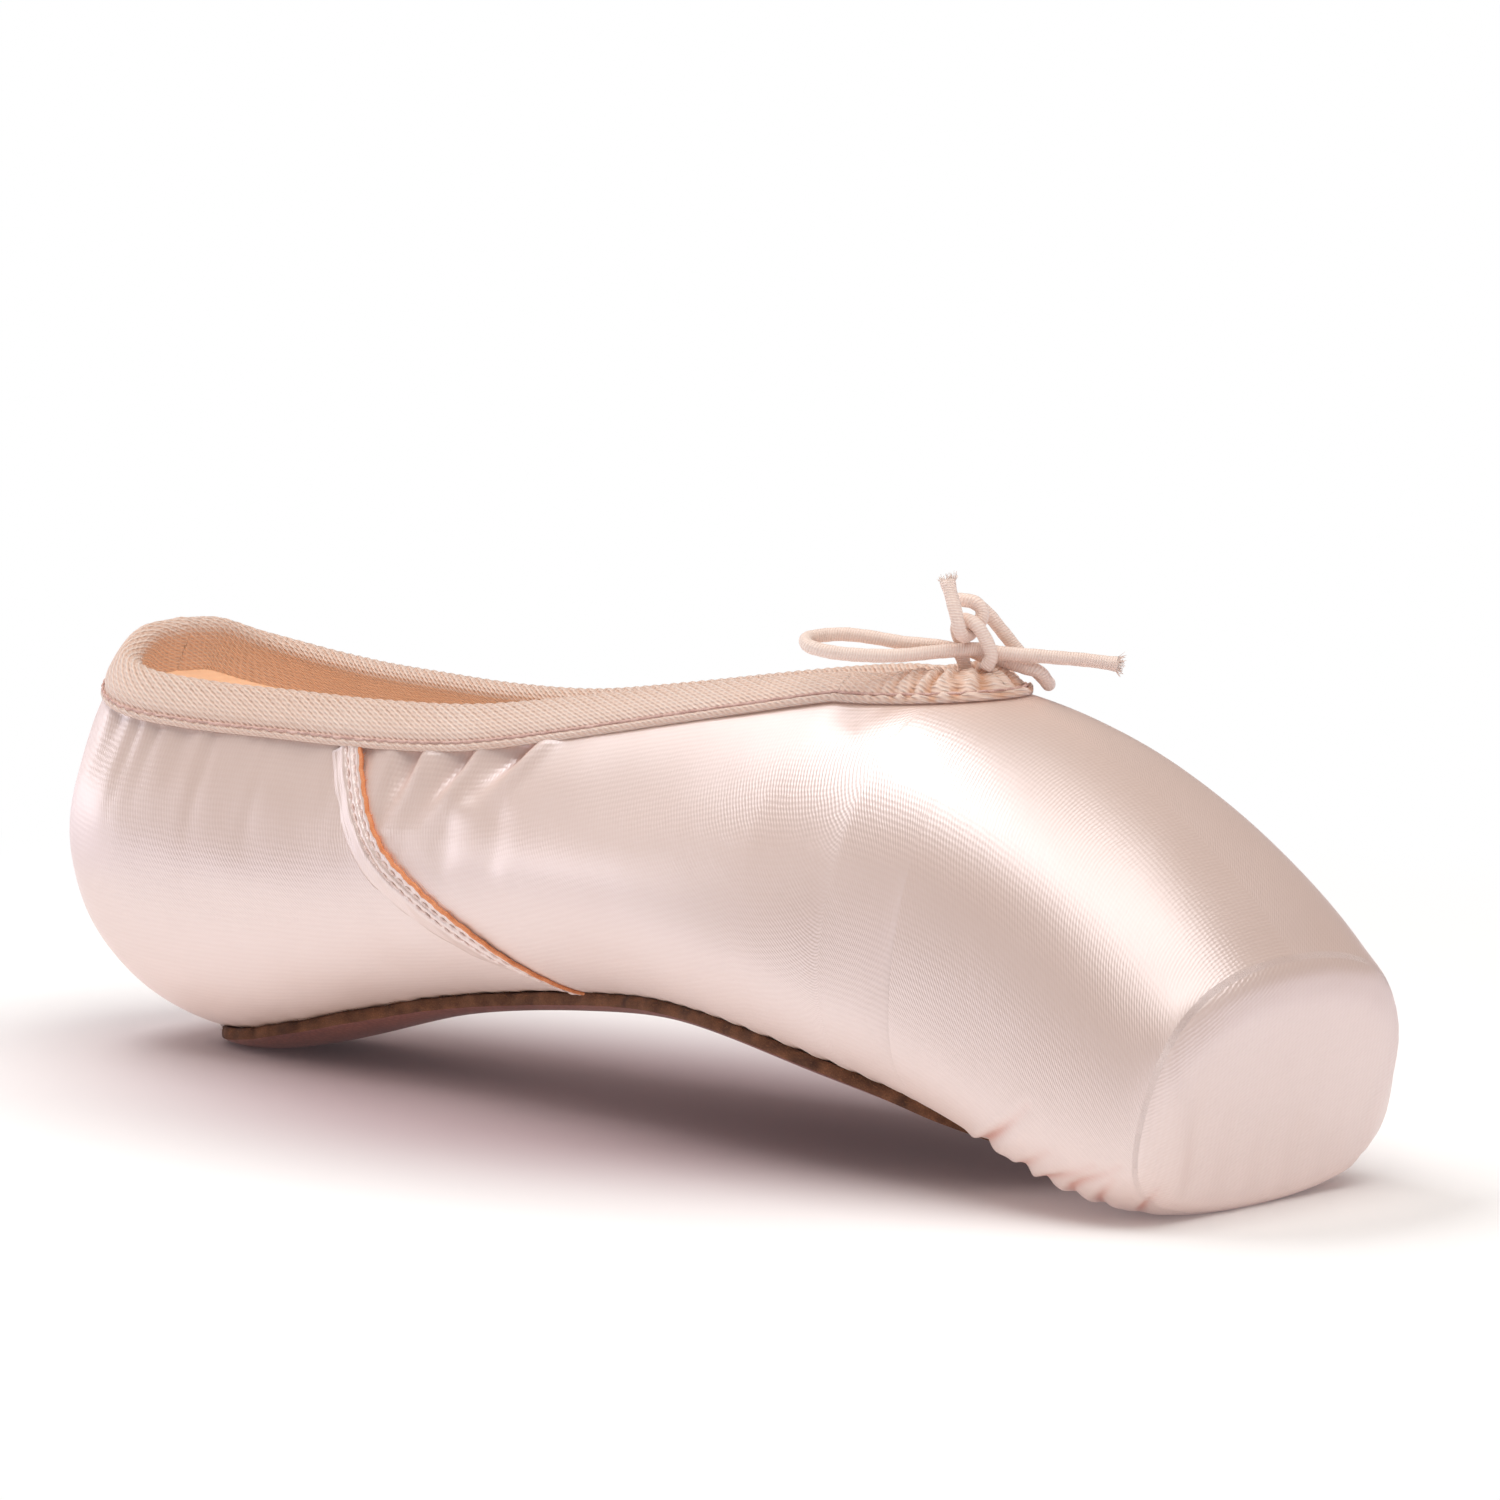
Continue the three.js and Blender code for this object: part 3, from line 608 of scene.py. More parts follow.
def makeCord(name, route):
    s = drawstring
    path = smoothRoute(np.array(route) + s["centre"], s["step"])
    length = arcLength(path)
    swell = 1
    for size, rate in s["waves"]:
        swell = swell + size * np.sin(length * rate)
    radius = s["diameter"] / 2 * swell
    radius = radius * (1 + s["spread"] * smooth(length, length[-1] - s["spreadOver"], length[-1]))
    rings, uv = tube(path, radius, s["sides"])
    sheets = Sheets().add(rings, uv=uv)
    # both ends are closed and hollowed, the cut one deeper
    for end, beside, flip, push in ((0, 1, False, -s["startHollow"]), (-1, -2, True, -s["cutHollow"])):
        inward = unit(path[end] - path[beside])
        centre = np.broadcast_to(path[end] + inward * push, rings[end].shape)
        ring = path[end] + (rings[end] - path[end]) * s["cap"] + inward * push
        cap = np.array([rings[end], ring, centre])
        sheets.add(cap, flip=not flip, uv=np.broadcast_to(uv[end], (3,) + uv[end].shape))
    cord = sheets.build(f"{name}_elastic", [materials["elastic"]])
    return cord, path, length[-1]


cords = {name: makeCord(name, route) for name, route in routes.items()}
print("stage: drawstring")


# Geometry Nodes trees for what repeats
def geometryTree(name, inputs):
    tree = bpy.data.node_groups.new(name, "GeometryNodeTree")
    tree.interface.new_socket("Geometry", in_out="INPUT", socket_type="NodeSocketGeometry")
    for label, value in inputs.items():
        kind = "NodeSocketMaterial" if value is None else "NodeSocketFloat"
        socket = tree.interface.new_socket(label, in_out="INPUT", socket_type=kind)
        if value is not None:
            socket.default_value = value
    tree.interface.new_socket("Geometry", in_out="OUTPUT", socket_type="NodeSocketGeometry")
    return tree, tree.nodes.new("NodeGroupInput").outputs, tree.nodes.new("NodeGroupOutput").inputs


def outwardsAt(tree):
    stored = node(tree, "GeometryNodeInputNamedAttribute", {"Name": "outwards"}, data_type="FLOAT_VECTOR")
    return stored.outputs[0]


def turnTo(tree, inputs, axis, pivot="AUTO"):
    turned = node(tree, "FunctionNodeAlignRotationToVector", inputs, axis=axis, pivot_axis=pivot)
    return turned.outputs[0]


def vectorOf(tree, x, y, z):
    return node(tree, "ShaderNodeCombineXYZ", {0: x, 1: y, 2: z}).outputs[0]


def randomVector(tree, low, high, seed):
    inputs = {"Min": low, "Max": high, "Seed": seed}
    return node(tree, "FunctionNodeRandomValue", inputs, data_type="FLOAT_VECTOR").outputs[0]


def bentThread(tree, points, resolution, sides, thickness):  # a round thread bent over three points
    bend = dict(zip(("Start", "Middle", "End"), points))
    arch = node(tree, "GeometryNodeCurveQuadraticBezier", {"Resolution": resolution, **bend})
    circle = {"Resolution": sides, "Radius": calc(tree, "MULTIPLY", thickness, 0.5)}
    profile = node(tree, "GeometryNodeCurvePrimitiveCircle", circle)
    inputs = {"Curve": arch.outputs[0], "Profile Curve": profile.outputs[0], "Fill Caps": True}
    return node(tree, "GeometryNodeCurveToMesh", inputs).outputs[0]


def repeatAt(tree, points, instance, rotation, scale):
    inputs = {"Points": points, "Instance": instance, "Rotation": rotation, "Scale": scale}
    placed = node(tree, "GeometryNodeInstanceOnPoints", inputs)
    return node(tree, "GeometryNodeRealizeInstances", {"Geometry": placed.outputs[0]}).outputs[0]


def giveMaterial(tree, geometry, given, result):
    inputs = {"Geometry": geometry, "Material": given["Finish"]}
    finished = node(tree, "GeometryNodeSetMaterial", inputs)
    tree.links.new(finished.outputs[0], result["Geometry"])
    return tree


def stitchTree():
    inputs = {"Pitch": 2.0, "Length": 2.0, "Thread": 0.3, "Bow": 0.3, "Rise": 0.1}
    inputs = {**{label: size * mm for label, size in inputs.items()}, "Finish": None}
    tree, given, result = geometryTree("stitchRow", inputs)
    curve = node(tree, "GeometryNodeMeshToCurve", {"Mesh": given["Geometry"]}).outputs[0]
    spacing = {"Curve": curve, "Length": given["Pitch"]}
    points = node(tree, "GeometryNodeResampleCurve", spacing, mode="LENGTH").outputs[0]
    half, back = (calc(tree, "MULTIPLY", given["Length"], share) for share in (0.5, -0.5))
    sink = calc(tree, "MULTIPLY", given["Thread"], -0.6)
    arch = [
        vectorOf(tree, back, 0, sink),
        vectorOf(tree, 0, given["Bow"], given["Rise"]),
        vectorOf(tree, half, 0, sink),
    ]
    stitch = bentThread(tree, arch, 7, 6, given["Thread"])
    vary = randomVector(tree, (0.92, 0.8, 0.85), (1.06, 1.2, 1.15), 5)
    # X runs along the line and Z out of the surface
    first = turnTo(tree, {"Vector": tree.nodes.new("GeometryNodeInputTangent").outputs[0]}, "X")
    turn = turnTo(tree, {"Rotation": first, "Vector": outwardsAt(tree)}, "Z", "X")
    real = repeatAt(tree, points, stitch, turn, vary)
    smoothed = node(tree, "GeometryNodeSetShadeSmooth", {"Geometry": real}).outputs[0]
    return giveMaterial(tree, smoothed, given, result)


def fibreTree():
    inputs = {"Length": 0.8 * mm, "Thickness": 0.06 * mm, "Curl": 0.3 * mm, "Spread": 0.7, "Finish": None}
    tree, given, result = geometryTree("fibres", inputs)
    bend = vectorOf(tree, given["Curl"], 0, calc(tree, "MULTIPLY", given["Length"], 0.6))
    tip = vectorOf(tree, 0, given["Curl"], given["Length"])
    hair = bentThread(tree, [(0, 0, -0.15 * mm), bend, tip], 4, 3, given["Thickness"])
    stray = randomVector(tree, (-1, -1, -1), (1, 1, 1), 11)
    strayed = vectorMath(tree, "SCALE", {0: stray, "Scale": given["Spread"]})[0]
    heading = vectorMath(tree, "ADD", {0: outwardsAt(tree), 1: strayed})[0]
    vary = randomVector(tree, (0.4, 0.4, 0.35), (1.2, 1.2, 1.2), 12)
    real = repeatAt(tree, given["Geometry"], hair, turnTo(tree, {"Vector": heading}, "Z"), vary)
    return giveMaterial(tree, real, given, result)


stitchRow, fibres = stitchTree(), fibreTree()


def growOn(name, tree, points, normals, values, joined=True):  # runs a tree on a line or on loose points
    mesh = bpy.data.meshes.new(name)
    edges = [(k, k + 1) for k in range(len(points) - 1)] if joined else []
    mesh.from_pydata(((np.asarray(points) + shift) * mm).tolist(), edges, [])
    outwards = mesh.attributes.new("outwards", "FLOAT_VECTOR", "POINT")
    outwards.data.foreach_set("vector", np.asarray(normals, np.float32).ravel())
    base = newObject(name, mesh)
    modifier = base.modifiers.new("nodes", "NODES")
    modifier.node_group = tree
    for item in tree.interface.items_tree:
        if item.in_out == "INPUT" and item.name in values:
            modifier[item.identifier] = values[item.name]
    grown = bpy.data.meshes.new_from_object(base.evaluated_get(bpy.context.evaluated_depsgraph_get()))
    bpy.data.objects.remove(base)
    grown.name = name
    print(f"  {name}: {sum(len(p.vertices) - 2 for p in grown.polygons)} triangles")
    return newObject(name, grown)


# Satin upper: one closed shell, satin outside and lining inside
upperSettings = {
    "step": 0.86, "fine": 0.6, "columns": 98, "innerColumns": 26, "collarRows": 22, "openingRows": 18,
    "soft": (6.5, 9), "quarterDrift": 0.22, "boxDrift": 0.05, "driftSizes": (34, 15), "farNudge": 0.13,
    "gathers": 46, "gatherReach": 175, "gatherDepth": (0.12, 0.42), "gatherWidth": (0.7, 1.7),
    "gatherLength": (4, 13), "gatherFrom": 7, "gatherEnds": (7.2, 7.8), "gatherBank": 0.55,
    "calmAtCollar": (4.5, 7.5), "calmAtThroat": (5, 9), "platformRow": 15.05, "platformShift": 20,
}
# What shows of the stiff box: its shoulder, the ridge round the platform, ripples across that
boxSettings = {
    "shoulder": 0.45, "shoulderRows": (7.7, 8.5, 9.0, 11.0), "shoulderAt": 13, "shoulderWidth": 7,
    "ridge": 0.6, "ridgeWidth": 0.24, "hollow": 0.28, "hollowWidth": 0.6, "ridgeColumns": (1.2, 2.4),
    "ripple": 0.16, "rippleRows": (15.1, 15.8, 17, 18), "ripplePitch": 7.5, "rippleBend": 9,
    "rippleHeights": (-32, -6),
}
# Small puckers, and a brown tint where the satin goes under the outsole: glue stain with painted shade
hemSettings = {
    "columnWidth": 9.0, "rows": 13, "pucker": 0.16, "puckerAt": 0.6, "puckerWidth": 2.6,
    "puckerPitch": 5.2, "puckerBend": 9, "stronger": (9, 11.5), "soleGlueAndShade": 0.55, "soleGlueAndShadeWidth": 0.55,
}
# Folds as places on the last, with depth, width, bank height, painted shade in the valley (glue in the toe
# pleats) and how far along they fade in
foldLabels = ("line", "depth", "width", "bank", "shadeAndGlue", "fadeIn")
foldRows = [
    ([(6.53, 5.62), (6.50, 5.28), (6.43, 4.80)], 1.05, 1.8, 0.45, 0.16, 0),
    ([(7.10, 5.75), (7.00, 5.35), (6.83, 4.85)], 1.25, 1.9, 0.55, 0.18, 0),
    ([(7.80, 6.02), (7.63, 5.68), (7.38, 5.20)], 1.75, 2.4, 0.75, 0.28, 0),
    ([(7.20, 4.60), (7.20, 4.17), (7.07, 3.62)], 0.22, 3.0, 0.08, 0.0, 0),
    ([(7.80, 4.78), (7.83, 4.23), (7.73, 3.58)], 0.24, 3.0, 0.09, 0.0, 0),
    ([(0.90, 5.45), (0.87, 5.10), (0.87, 4.70)], 0.55, 1.1, 0.25, 0.0, 0),
    ([(1.60, 5.40), (1.70, 5.10), (1.75, 4.80)], 0.35, 1.0, 0.18, 0.0, 0),
]
pleatRows = [
    ([(12.75, 1.65), (13.37, 2.95), (13.85, 3.90)], 0.95, 0.95, 0.40, 1.0, 0),
    ([(13.02, 1.10), (13.50, 2.27), (14.05, 3.35)], 0.65, 0.90, 0.30, 0.9, 0.5),
    ([(13.25, 0.75), (13.75, 2.25), (14.55, 3.40)], 0.75, 0.90, 0.35, 1.0, 0.5),
    ([(13.60, 0.70), (14.20, 2.60), (14.85, 3.50)], 0.55, 0.90, 0.28, 0.9, 0.5),
    ([(13.95, 0.90), (14.40, 2.30), (14.75, 3.15)], 0.55, 0.85, 0.26, 0.9, 0.5),
    ([(14.35, 1.10), (14.85, 2.10), (15.30, 2.75)], 0.5, 0.85, 0.22, 0.9, 0.5),
]
folds, pleats = ([dict(zip(foldLabels, row)) for row in rows] for rows in (foldRows, pleatRows))
# The edge of the box round the platform, as column and row
boxRidge = [
    (2.0, 15.37), (3.5, 15.78), (4.4, 15.56), (5.2, 15.10), (5.8, 15.00), (6.6, 15.12), (7.4, 15.17),
    (8.0, 15.20),
]


def nearLine(points, normals, line):  # distance from a line, share of the way along it, and side
    distance = np.full(points.shape[:-1], 1e9)
    share, side = np.zeros_like(distance), np.ones_like(distance)
    for k, (a, b) in enumerate(zip(line[:-1], line[1:])):
        t = np.clip(((points - a) @ (b - a)) / ((b - a) @ (b - a)), 0, 1)
        off = points - (a + t[..., None] * (b - a))
        d = np.linalg.norm(off, axis=-1)
        near = d < distance
        distance = np.where(near, d, distance)
        share = np.where(near, (k + t) / (len(line) - 1), share)
        side = np.where(near, np.sign((np.cross(b - a, off) * normals).sum(-1)), side)
    return distance, share, side


foldShape = {
    "steep": 0.7, "shallow": 1.25, "bankAt": 2.1, "bankWidth": 1.3, "shadeAndGlueWidth": 0.6, "reach": 6,
    "fadeFrom": 0.35, "fadeBy": 0.85, "places": 9,
}


def foldRelief(points, normals, fold, hand, offset, shadeAndGlue):
    s = foldShape
    keys = np.linspace(0, 1, len(fold["line"]))
    at = np.linspace(0, 1, s["places"])
    row, column = (throughKnots(keys, [place[k] for place in fold["line"]], at) for k in (0, 1))
    line = lastAt(row, column)[0] * [1, hand, 1]
    middle = line[len(line) // 2]
    reach = np.linalg.norm(line - middle, axis=-1).max() + s["reach"] * fold["width"]
    close = np.linalg.norm(points - middle, axis=-1) < reach
    distance, share, side = nearLine(points[close], normals[close], line)
    wide = fold["width"] * np.where(side * hand > 0, s["shallow"], s["steep"])  # one bank is steeper
    fade = (1 - smooth(share, s["fadeFrom"], 1.0) * s["fadeBy"]) * smooth(share, -0.01, fold["fadeIn"])
    valley = bell(distance, wide) * fade
    bank = bell(distance - s["bankAt"] * wide, s["bankWidth"] * wide) * fade
    offset[close] += fold["bank"] * bank - fold["depth"] * valley
    # painted shade along a fold's valley; in the toe pleats this tint stands for glue
    tint = fold["shadeAndGlue"] * bell(distance, s["shadeAndGlueWidth"] * fold["width"]) * fade
    shadeAndGlue[close] = np.maximum(shadeAndGlue[close], tint)


def drift(points, size, seed, waves=7):  # slow waves over the cloth, from about -1 to 1
    rng = np.random.default_rng(seed)
    total = np.zeros(points.shape[:-1])
    for _ in range(waves):
        wave = unit(rng.normal(size=3)) * rng.uniform(0.6, 1.5) * 2 * np.pi / size
        total += np.sin(points @ wave + rng.uniform(0, 6.3))
    return total / (waves / 2)


def shellPlaces(hand):
    s = upperSettings
    lastKnot, opening = lines["collar"]["knots"][-1][0], lines["opening"]["end"]
    rows = np.concatenate([
        evenRows(0, lastKnot, s["step"], 4), endRows("collar", s["collarRows"]),
        endRows("opening", s["openingRows"]), evenRows(opening, 15, s["fine"] * s["step"], 5)[1:],
        evenRows(15, toeRow, s["step"], 4)[1:],
    ])
    rows = rows[np.concatenate([[True], np.diff(rows) > 1e-6])]
    start, stop = lineColumn("opening", rows)[:, None], lineColumn("collar", rows)[:, None]
    column, innerColumn = (
        start + (stop - start) * np.linspace(0, 1, s[key] + 1) for key in ("columns", "innerColumns")
    )
    point, normal = lastAt(rows[:, None], column)
    inner, innerNormal = lastAt(rows[:, None], innerColumn)
    flip = np.array([1, hand, 1])
    return rows, column, point * flip, normal * flip, inner * flip, innerNormal * flip


def gatherRelief(gathers, along, fromCollar, rows, offset):  # small gathers under the binding
    s = upperSettings
    fade = (1 - smooth(rows, *s["gatherEnds"]))[:, None]
    for place, depth, width, length in gathers:
        bank = s["gatherBank"] * bell(along - place - 1.9 * width, 1.2 * width)
        hollow = bell(along - place, width) - bank
        below = np.maximum(fromCollar - s["gatherFrom"], 0)
        offset -= depth * hollow * np.exp(-(below / length) ** 1.5) * fade


def boxRelief(rows, column, point, fromCollar, offset):
    s = boxSettings
    shoulder = between(rows, *s["shoulderRows"])[:, None]
    offset += s["shoulder"] * shoulder * bell(fromCollar - s["shoulderAt"], s["shoulderWidth"])
    fromRidge = rows[:, None] - throughKnots(*zip(*boxRidge), np.clip(column, 2, 8))
    crest = s["ridge"] * bell(fromRidge, s["ridgeWidth"]) - s["hollow"] * bell(fromRidge, s["hollowWidth"])
    offset += crest * smooth(column, *s["ridgeColumns"])
    across, height = point[..., 1], point[..., 2]
    wave = np.sin(across * 2 * np.pi / s["ripplePitch"] + 0.8 * np.sin(height / s["rippleBend"]))
    ripple = s["ripple"] * between(rows, *s["rippleRows"])[:, None]
    offset += ripple * wave * smooth(-height, *s["rippleHeights"])


def hemRelief(rows, column, point, hand, offset):
    s = hemSettings
    behind = (rows < s["rows"])[:, None]
    fromSole = (column - lineColumn("outsole", rows)[:, None]) * s["columnWidth"]
    pucker = bell(fromSole - s["puckerAt"], s["puckerWidth"]) * behind
    way = arcLength(point[:, 0])[:, None]
    wave = np.sin(way * 2 * np.pi / s["puckerPitch"] + 2 * np.sin(way / s["puckerBend"]) + hand)
    offset += s["pucker"] * pucker * wave * (0.4 + smooth(rows, *s["stronger"])[:, None])
    # brown tint just above the outsole: glue stain, darkened as painted shade where satin meets sole
    return s["soleGlueAndShade"] * bell(np.maximum(fromSole, 0), s["soleGlueAndShadeWidth"]) * behind


def nudged(fold, nudge):
    return {**fold, "line": [(row + nudge, column) for row, column in fold["line"]]}


def makeUpper():
    s = upperSettings
    throatRow = lines["collar"]["end"]
    sheets = Sheets()
    rng = np.random.default_rng(3)
    gathers = []
    for _ in range(s["gathers"]):
        place = rng.uniform(-s["gatherReach"], s["gatherReach"])
        size = [rng.uniform(*s[key]) for key in ("gatherDepth", "gatherWidth", "gatherLength")]
        gathers.append([place, *size])
    for hand in (1, -1):
        rows, column, point, normal, inner, innerNormal = shellPlaces(hand)
        offset, shadeAndGlue = (np.zeros(point.shape[:-1]) for _ in range(2))
        for side in (-1, 1):
            nudge = 0 if side < 0 else s["farNudge"]
            for fold in folds:
                foldRelief(point, normal, nudged(fold, nudge), side, offset, shadeAndGlue)
            for k, pleat in enumerate(pleats):
                foldRelief(point, normal, nudged(pleat, nudge * (1 if k % 2 else -1)), side, offset, shadeAndGlue)
        downwards = np.diff(point[:, ::-1], axis=1, prepend=point[:, -1:])
        fromCollar = np.cumsum(np.linalg.norm(downwards, axis=-1), axis=1)[:, ::-1]
        gatherRelief(gathers, arcLength(point[:, -1])[:, None] * hand, fromCollar, rows, offset)
        # slow waves: soft in the quarters, nearly none on the stiff box
        soft = (1 - smooth(rows, *s["soft"]))[:, None]
        amount = s["boxDrift"] + (s["quarterDrift"] - s["boxDrift"]) * soft
        large, small = s["driftSizes"]
        offset += amount * drift(point, large, 5) + 0.5 * amount * drift(point, small, 6)
        boxRelief(rows, column, point, fromCollar, offset)
        soleGlueAndShade = hemRelief(rows, column, point, hand, offset)
        # the satin lies flat under the binding
        fromThroat = np.linalg.norm(point - lastAt(throatRow, topColumn)[0], axis=-1)
        ahead = (rows > throatRow)[:, None]
        fade = np.where(ahead, smooth(fromThroat, *s["calmAtThroat"]), smooth(fromCollar, *s["calmAtCollar"]))
        placed = point + normal * (offset * fade)[..., None]
        placed[..., 2] = np.maximum(placed[..., 2], 0)
        placed[..., 1] = np.where(np.abs(point[..., 1]) < onMiddle, 0, placed[..., 1])
        inner = inner - innerNormal * wallAt(rows)[:, None, None]
        # UV in mm: along the shoe, and round it from the top; on the platform down and across it
        alongShoe = np.cumsum(np.linalg.norm(np.diff(point, axis=0, prepend=point[:1]), axis=-1), axis=0)
        uv = np.stack([alongShoe, fromCollar * hand], -1)
        platform = np.stack([throatRow * s["platformShift"] - point[..., 2], point[..., 1]], -1)
        uv = np.where((rows > s["platformRow"])[:, None, None], platform, uv)
        flip = hand < 0
        # the marks: painted crease shade with pleat glue, and glue with painted shade above the outsole
        sheets.add(placed, flip=flip, uv=uv, mark=np.stack([shadeAndGlue, soleGlueAndShade], -1))
        sheets.add(inner, kind=1, flip=not flip, uv=inner[..., [0, 2]])
        for name, end, turned in (("collar", -1, flip), ("opening", 0, not flip)):
            count = int((rows <= lines[name]["end"] + 1e-6).sum())
            sheets.add(np.stack([placed[:count, end], inner[:count, end]], 1), kind=1, flip=turned)
    return sheets.build("satin_upper", [materials["satin"], materials["lining"]])


upper = makeUpper()
print("stage: upper")

# Binding: twill tape folded over the collar, gathered at the throat, with its chain stitch
bindingSettings = {
    "width": 7.2, "thickness": 0.8, "puff": 0.4, "step": 0.36, "across": 0.45,
    "gather": 1.4, "gatherRows": (10.9, 11.5), "crumple": 0.54, "crumpleRows": (10.9, 11.6),
    "crumplePitch": 2.2, "crumpleBend": (1.4, 2.1), "finePitch": 1.5, "fineSlope": 1.1, "fineShare": 0.6,
    # the last two amounts on the line below paint shade into the tape's rib hollows and the throat's gathers
    "ends": (0, 1.2, 18.4, 19.4), "ribHollowShade": 0.85, "throatGatherShade": 0.8,
    "ribPitch": 2.2, "ribSlope": -1.8, "ribHeight": 0.36, "ribShape": 0.7, "onFold": (0.30, 0.70),
    "foldAt": 10.6, "foldWidth": 3.6, "outerFrom": 12, "calmEnd": 0.8, "dent": 0.34, "dentWidth": 0.55,
    "stitchReach": 5.9, "stitchPitch": 2.25, "stitchThread": 0.40, "stitchRaise": 0.20,
}


def stitchValues(pitch, share, thread, bow, rise, finish):
    sizes = {"Pitch": pitch, "Length": pitch * share, "Thread": thread, "Bow": bow, "Rise": rise}
    return {**{label: size * mm for label, size in sizes.items()}, "Finish": materials[finish]}


def fibreValues(length, thickness, curl, spread, finish):
    sizes = {"Length": length * mm, "Thickness": thickness * mm, "Curl": curl * mm}
    return {**sizes, "Spread": spread, "Finish": materials[finish]}


def collarStations(step):  # rows the same length apart along the collar's edge
    fine = np.concatenate([np.linspace(0, lines["collar"]["knots"][-1][0], 600), endRows("collar", 200)])
    length = arcLength(lastAt(fine, lineColumn("collar", fine))[0])
    even = np.linspace(0, length[-1], round(length[-1] / step) + 1)
    rows = np.interp(even, length, fine)
    rows[-1] = lines["collar"]["end"]
    return rows, even


def besideEdge(row, column, away, reach, height):  # points beside an edge, as in part.mjs
    height = np.broadcast_to(height, np.shape(row))[:, None]
    if reach <= 0:
        point, normal = lastAt(row, column)
        return point + away * reach + normal * height
    there, thereNormal = walk(row, column, away, reach)
    return there + thereNormal * height


def collarEdge(step):
    rows, length = collarStations(step)
    column = lineColumn("collar", rows)
    point, normal = lastAt(rows, column)
    along = unit(np.gradient(point, axis=0))
    along[0], along[-1] = (0, 1, 0), (0, -1, 0)
    return rows, column, length, unit(np.cross(normal, along))


def tapeSection(rows):  # the tape's outer face from inside to outside, as reach and height per station
    s = bindingSettings
    wall, outside = wallAt(rows), shoe["gap"] + s["thickness"]
    gather = s["gather"] * smooth(rows, *s["gatherRows"])
    bend = wall / 2 + outside
    knots = [
        (s["width"], -wall - outside), (s["width"] / 2, -wall - outside), (0, -wall - outside),
        (-0.8 * outside, -wall / 2 - 0.6 * bend), (-outside, -wall / 2),
        (-0.8 * outside, -wall / 2 + 0.6 * bend + gather / 2), (0, outside + gather),
        (s["width"] / 2, outside + s["puff"] + gather / 2), (s["width"] - 1.6, outside + 0.15),
        (s["width"] - 0.5, outside + 0.18), (s["width"], shoe["gap"] + 0.35),
    ]
    at = [0, 3.6, 7.2, 8.4, 9.6, 10.8, 12.0, 15.6, 17.6, 18.7, 19.4]
    fine = np.arange(0, at[-1] + 0.01, s["across"])
    reach = throughKnots(at, [reach for reach, _ in knots], fine)
    tall = np.stack([np.broadcast_to(height, rows.shape) for _, height in knots], 1)
    height = np.stack([throughKnots(at, station, fine) for station in tall])
    return fine, reach, height


def makeBinding():
    s = bindingSettings
    rows, column, length, away = collarEdge(s["step"])
    across, reach, height = tapeSection(rows)
    face = [besideEdge(rows, column, away, reach[m], height[:, m]) for m in range(len(across))]
    face = np.stack(face, 1)
    outward = unit(np.cross(np.gradient(face, axis=1), np.gradient(face, axis=0)))
    outward = outward * np.sign((outward[:, -6] * lastAt(rows, column)[1]).sum(-1))[:, None, None]
    sheets = Sheets()
    gap, wall = shoe["gap"], wallAt(rows)
    reaches = (s["width"], s["width"] / 2, 0)
    under = [besideEdge(rows, column, away, r, gap) for r in reaches]
    under.append(besideEdge(rows, column, away, -gap, -wall / 2))
    under += [besideEdge(rows, column, away, r, -wall - gap) for r in reaches[::-1]]
    throat = smooth(rows, *s["crumpleRows"])[:, None]
    low, high = s["onFold"]
    onFold = low + high * bell(across - s["foldAt"], s["foldWidth"])
    ends = between(across, *s["ends"])
    bend, bendWidth = s["crumpleBend"]
    for hand in (1, -1):
        along = length[:, None] * -hand
        phase = (along + across * s["ribSlope"]) / s["ribPitch"]
        rib = np.abs(np.cos(np.pi * phase)) ** s["ribShape"]
        relief = s["ribHeight"] * (rib - 0.5) * onFold * ends
        relief = relief - s["dent"] * bell(across - (s["outerFrom"] + s["stitchReach"]), s["dentWidth"])
        crumple = np.sin(along * 2 * np.pi / s["crumplePitch"] + bend * np.sin(across / bendWidth))
        fine = np.sin(along * 2 * np.pi / s["finePitch"] + across * s["fineSlope"])
        crumple = crumple + s["fineShare"] * fine
        middle = 1 - smooth(length, length[-1] - s["calmEnd"], length[-1])[:, None]
        relief = relief + s["crumple"] * 0.6 * crumple * throat * ends * middle
        placed = face + outward * relief[..., None]
        ring = np.concatenate([placed, np.stack(under, 1), placed[:, :1]], 1) * [1, hand, 1]
        width = np.concatenate([across, 19.8 + np.arange(len(under)) * 2.0, [35.0]])
        uv = np.stack([np.broadcast_to(part, ring.shape[:2]) for part in (along, width)], -1)
        # painted shade in the rib hollows of the tape and in the crumpled gathers at the throat
        shadeAndGlue = s["ribHollowShade"] * (1 - rib) ** 1.5 * onFold
        shadeAndGlue = shadeAndGlue + s["throatGatherShade"] * throat * np.clip(0.25 - 0.55 * crumple, 0, 1)
        mark = np.zeros(ring.shape[:2] + (2,))
        mark[:, : len(across), 0] = np.clip(shadeAndGlue, 0, 1)
        ring[..., 1] = np.where(np.abs(ring[..., 1]) < 1e-4, 0, ring[..., 1])
        ring[[0, -1], :, 1] = 0
        sheets.add(ring, flip=hand > 0, uv=uv, mark=mark)
    piece = sheets.build("twill_binding", [materials["tape"]])
    # chain stitch round the collar, one closed run from the throat and back
    line = besideEdge(rows, column, away, s["stitchReach"], gap + s["thickness"] + s["stitchRaise"])
    normal = walk(rows, column, away, s["stitchReach"])[1]
    run, runNormal = (np.concatenate([(part * mirror)[::-1], part[1:]]) for part in (line, normal))
    values = stitchValues(s["stitchPitch"], 0.98, s["stitchThread"], 0.42, 0.22, "thread")
    return piece, growOn("binding_stitches", stitchRow, run, runNormal, values)


binding, bindingStitches = makeBinding()
print("stage: binding")

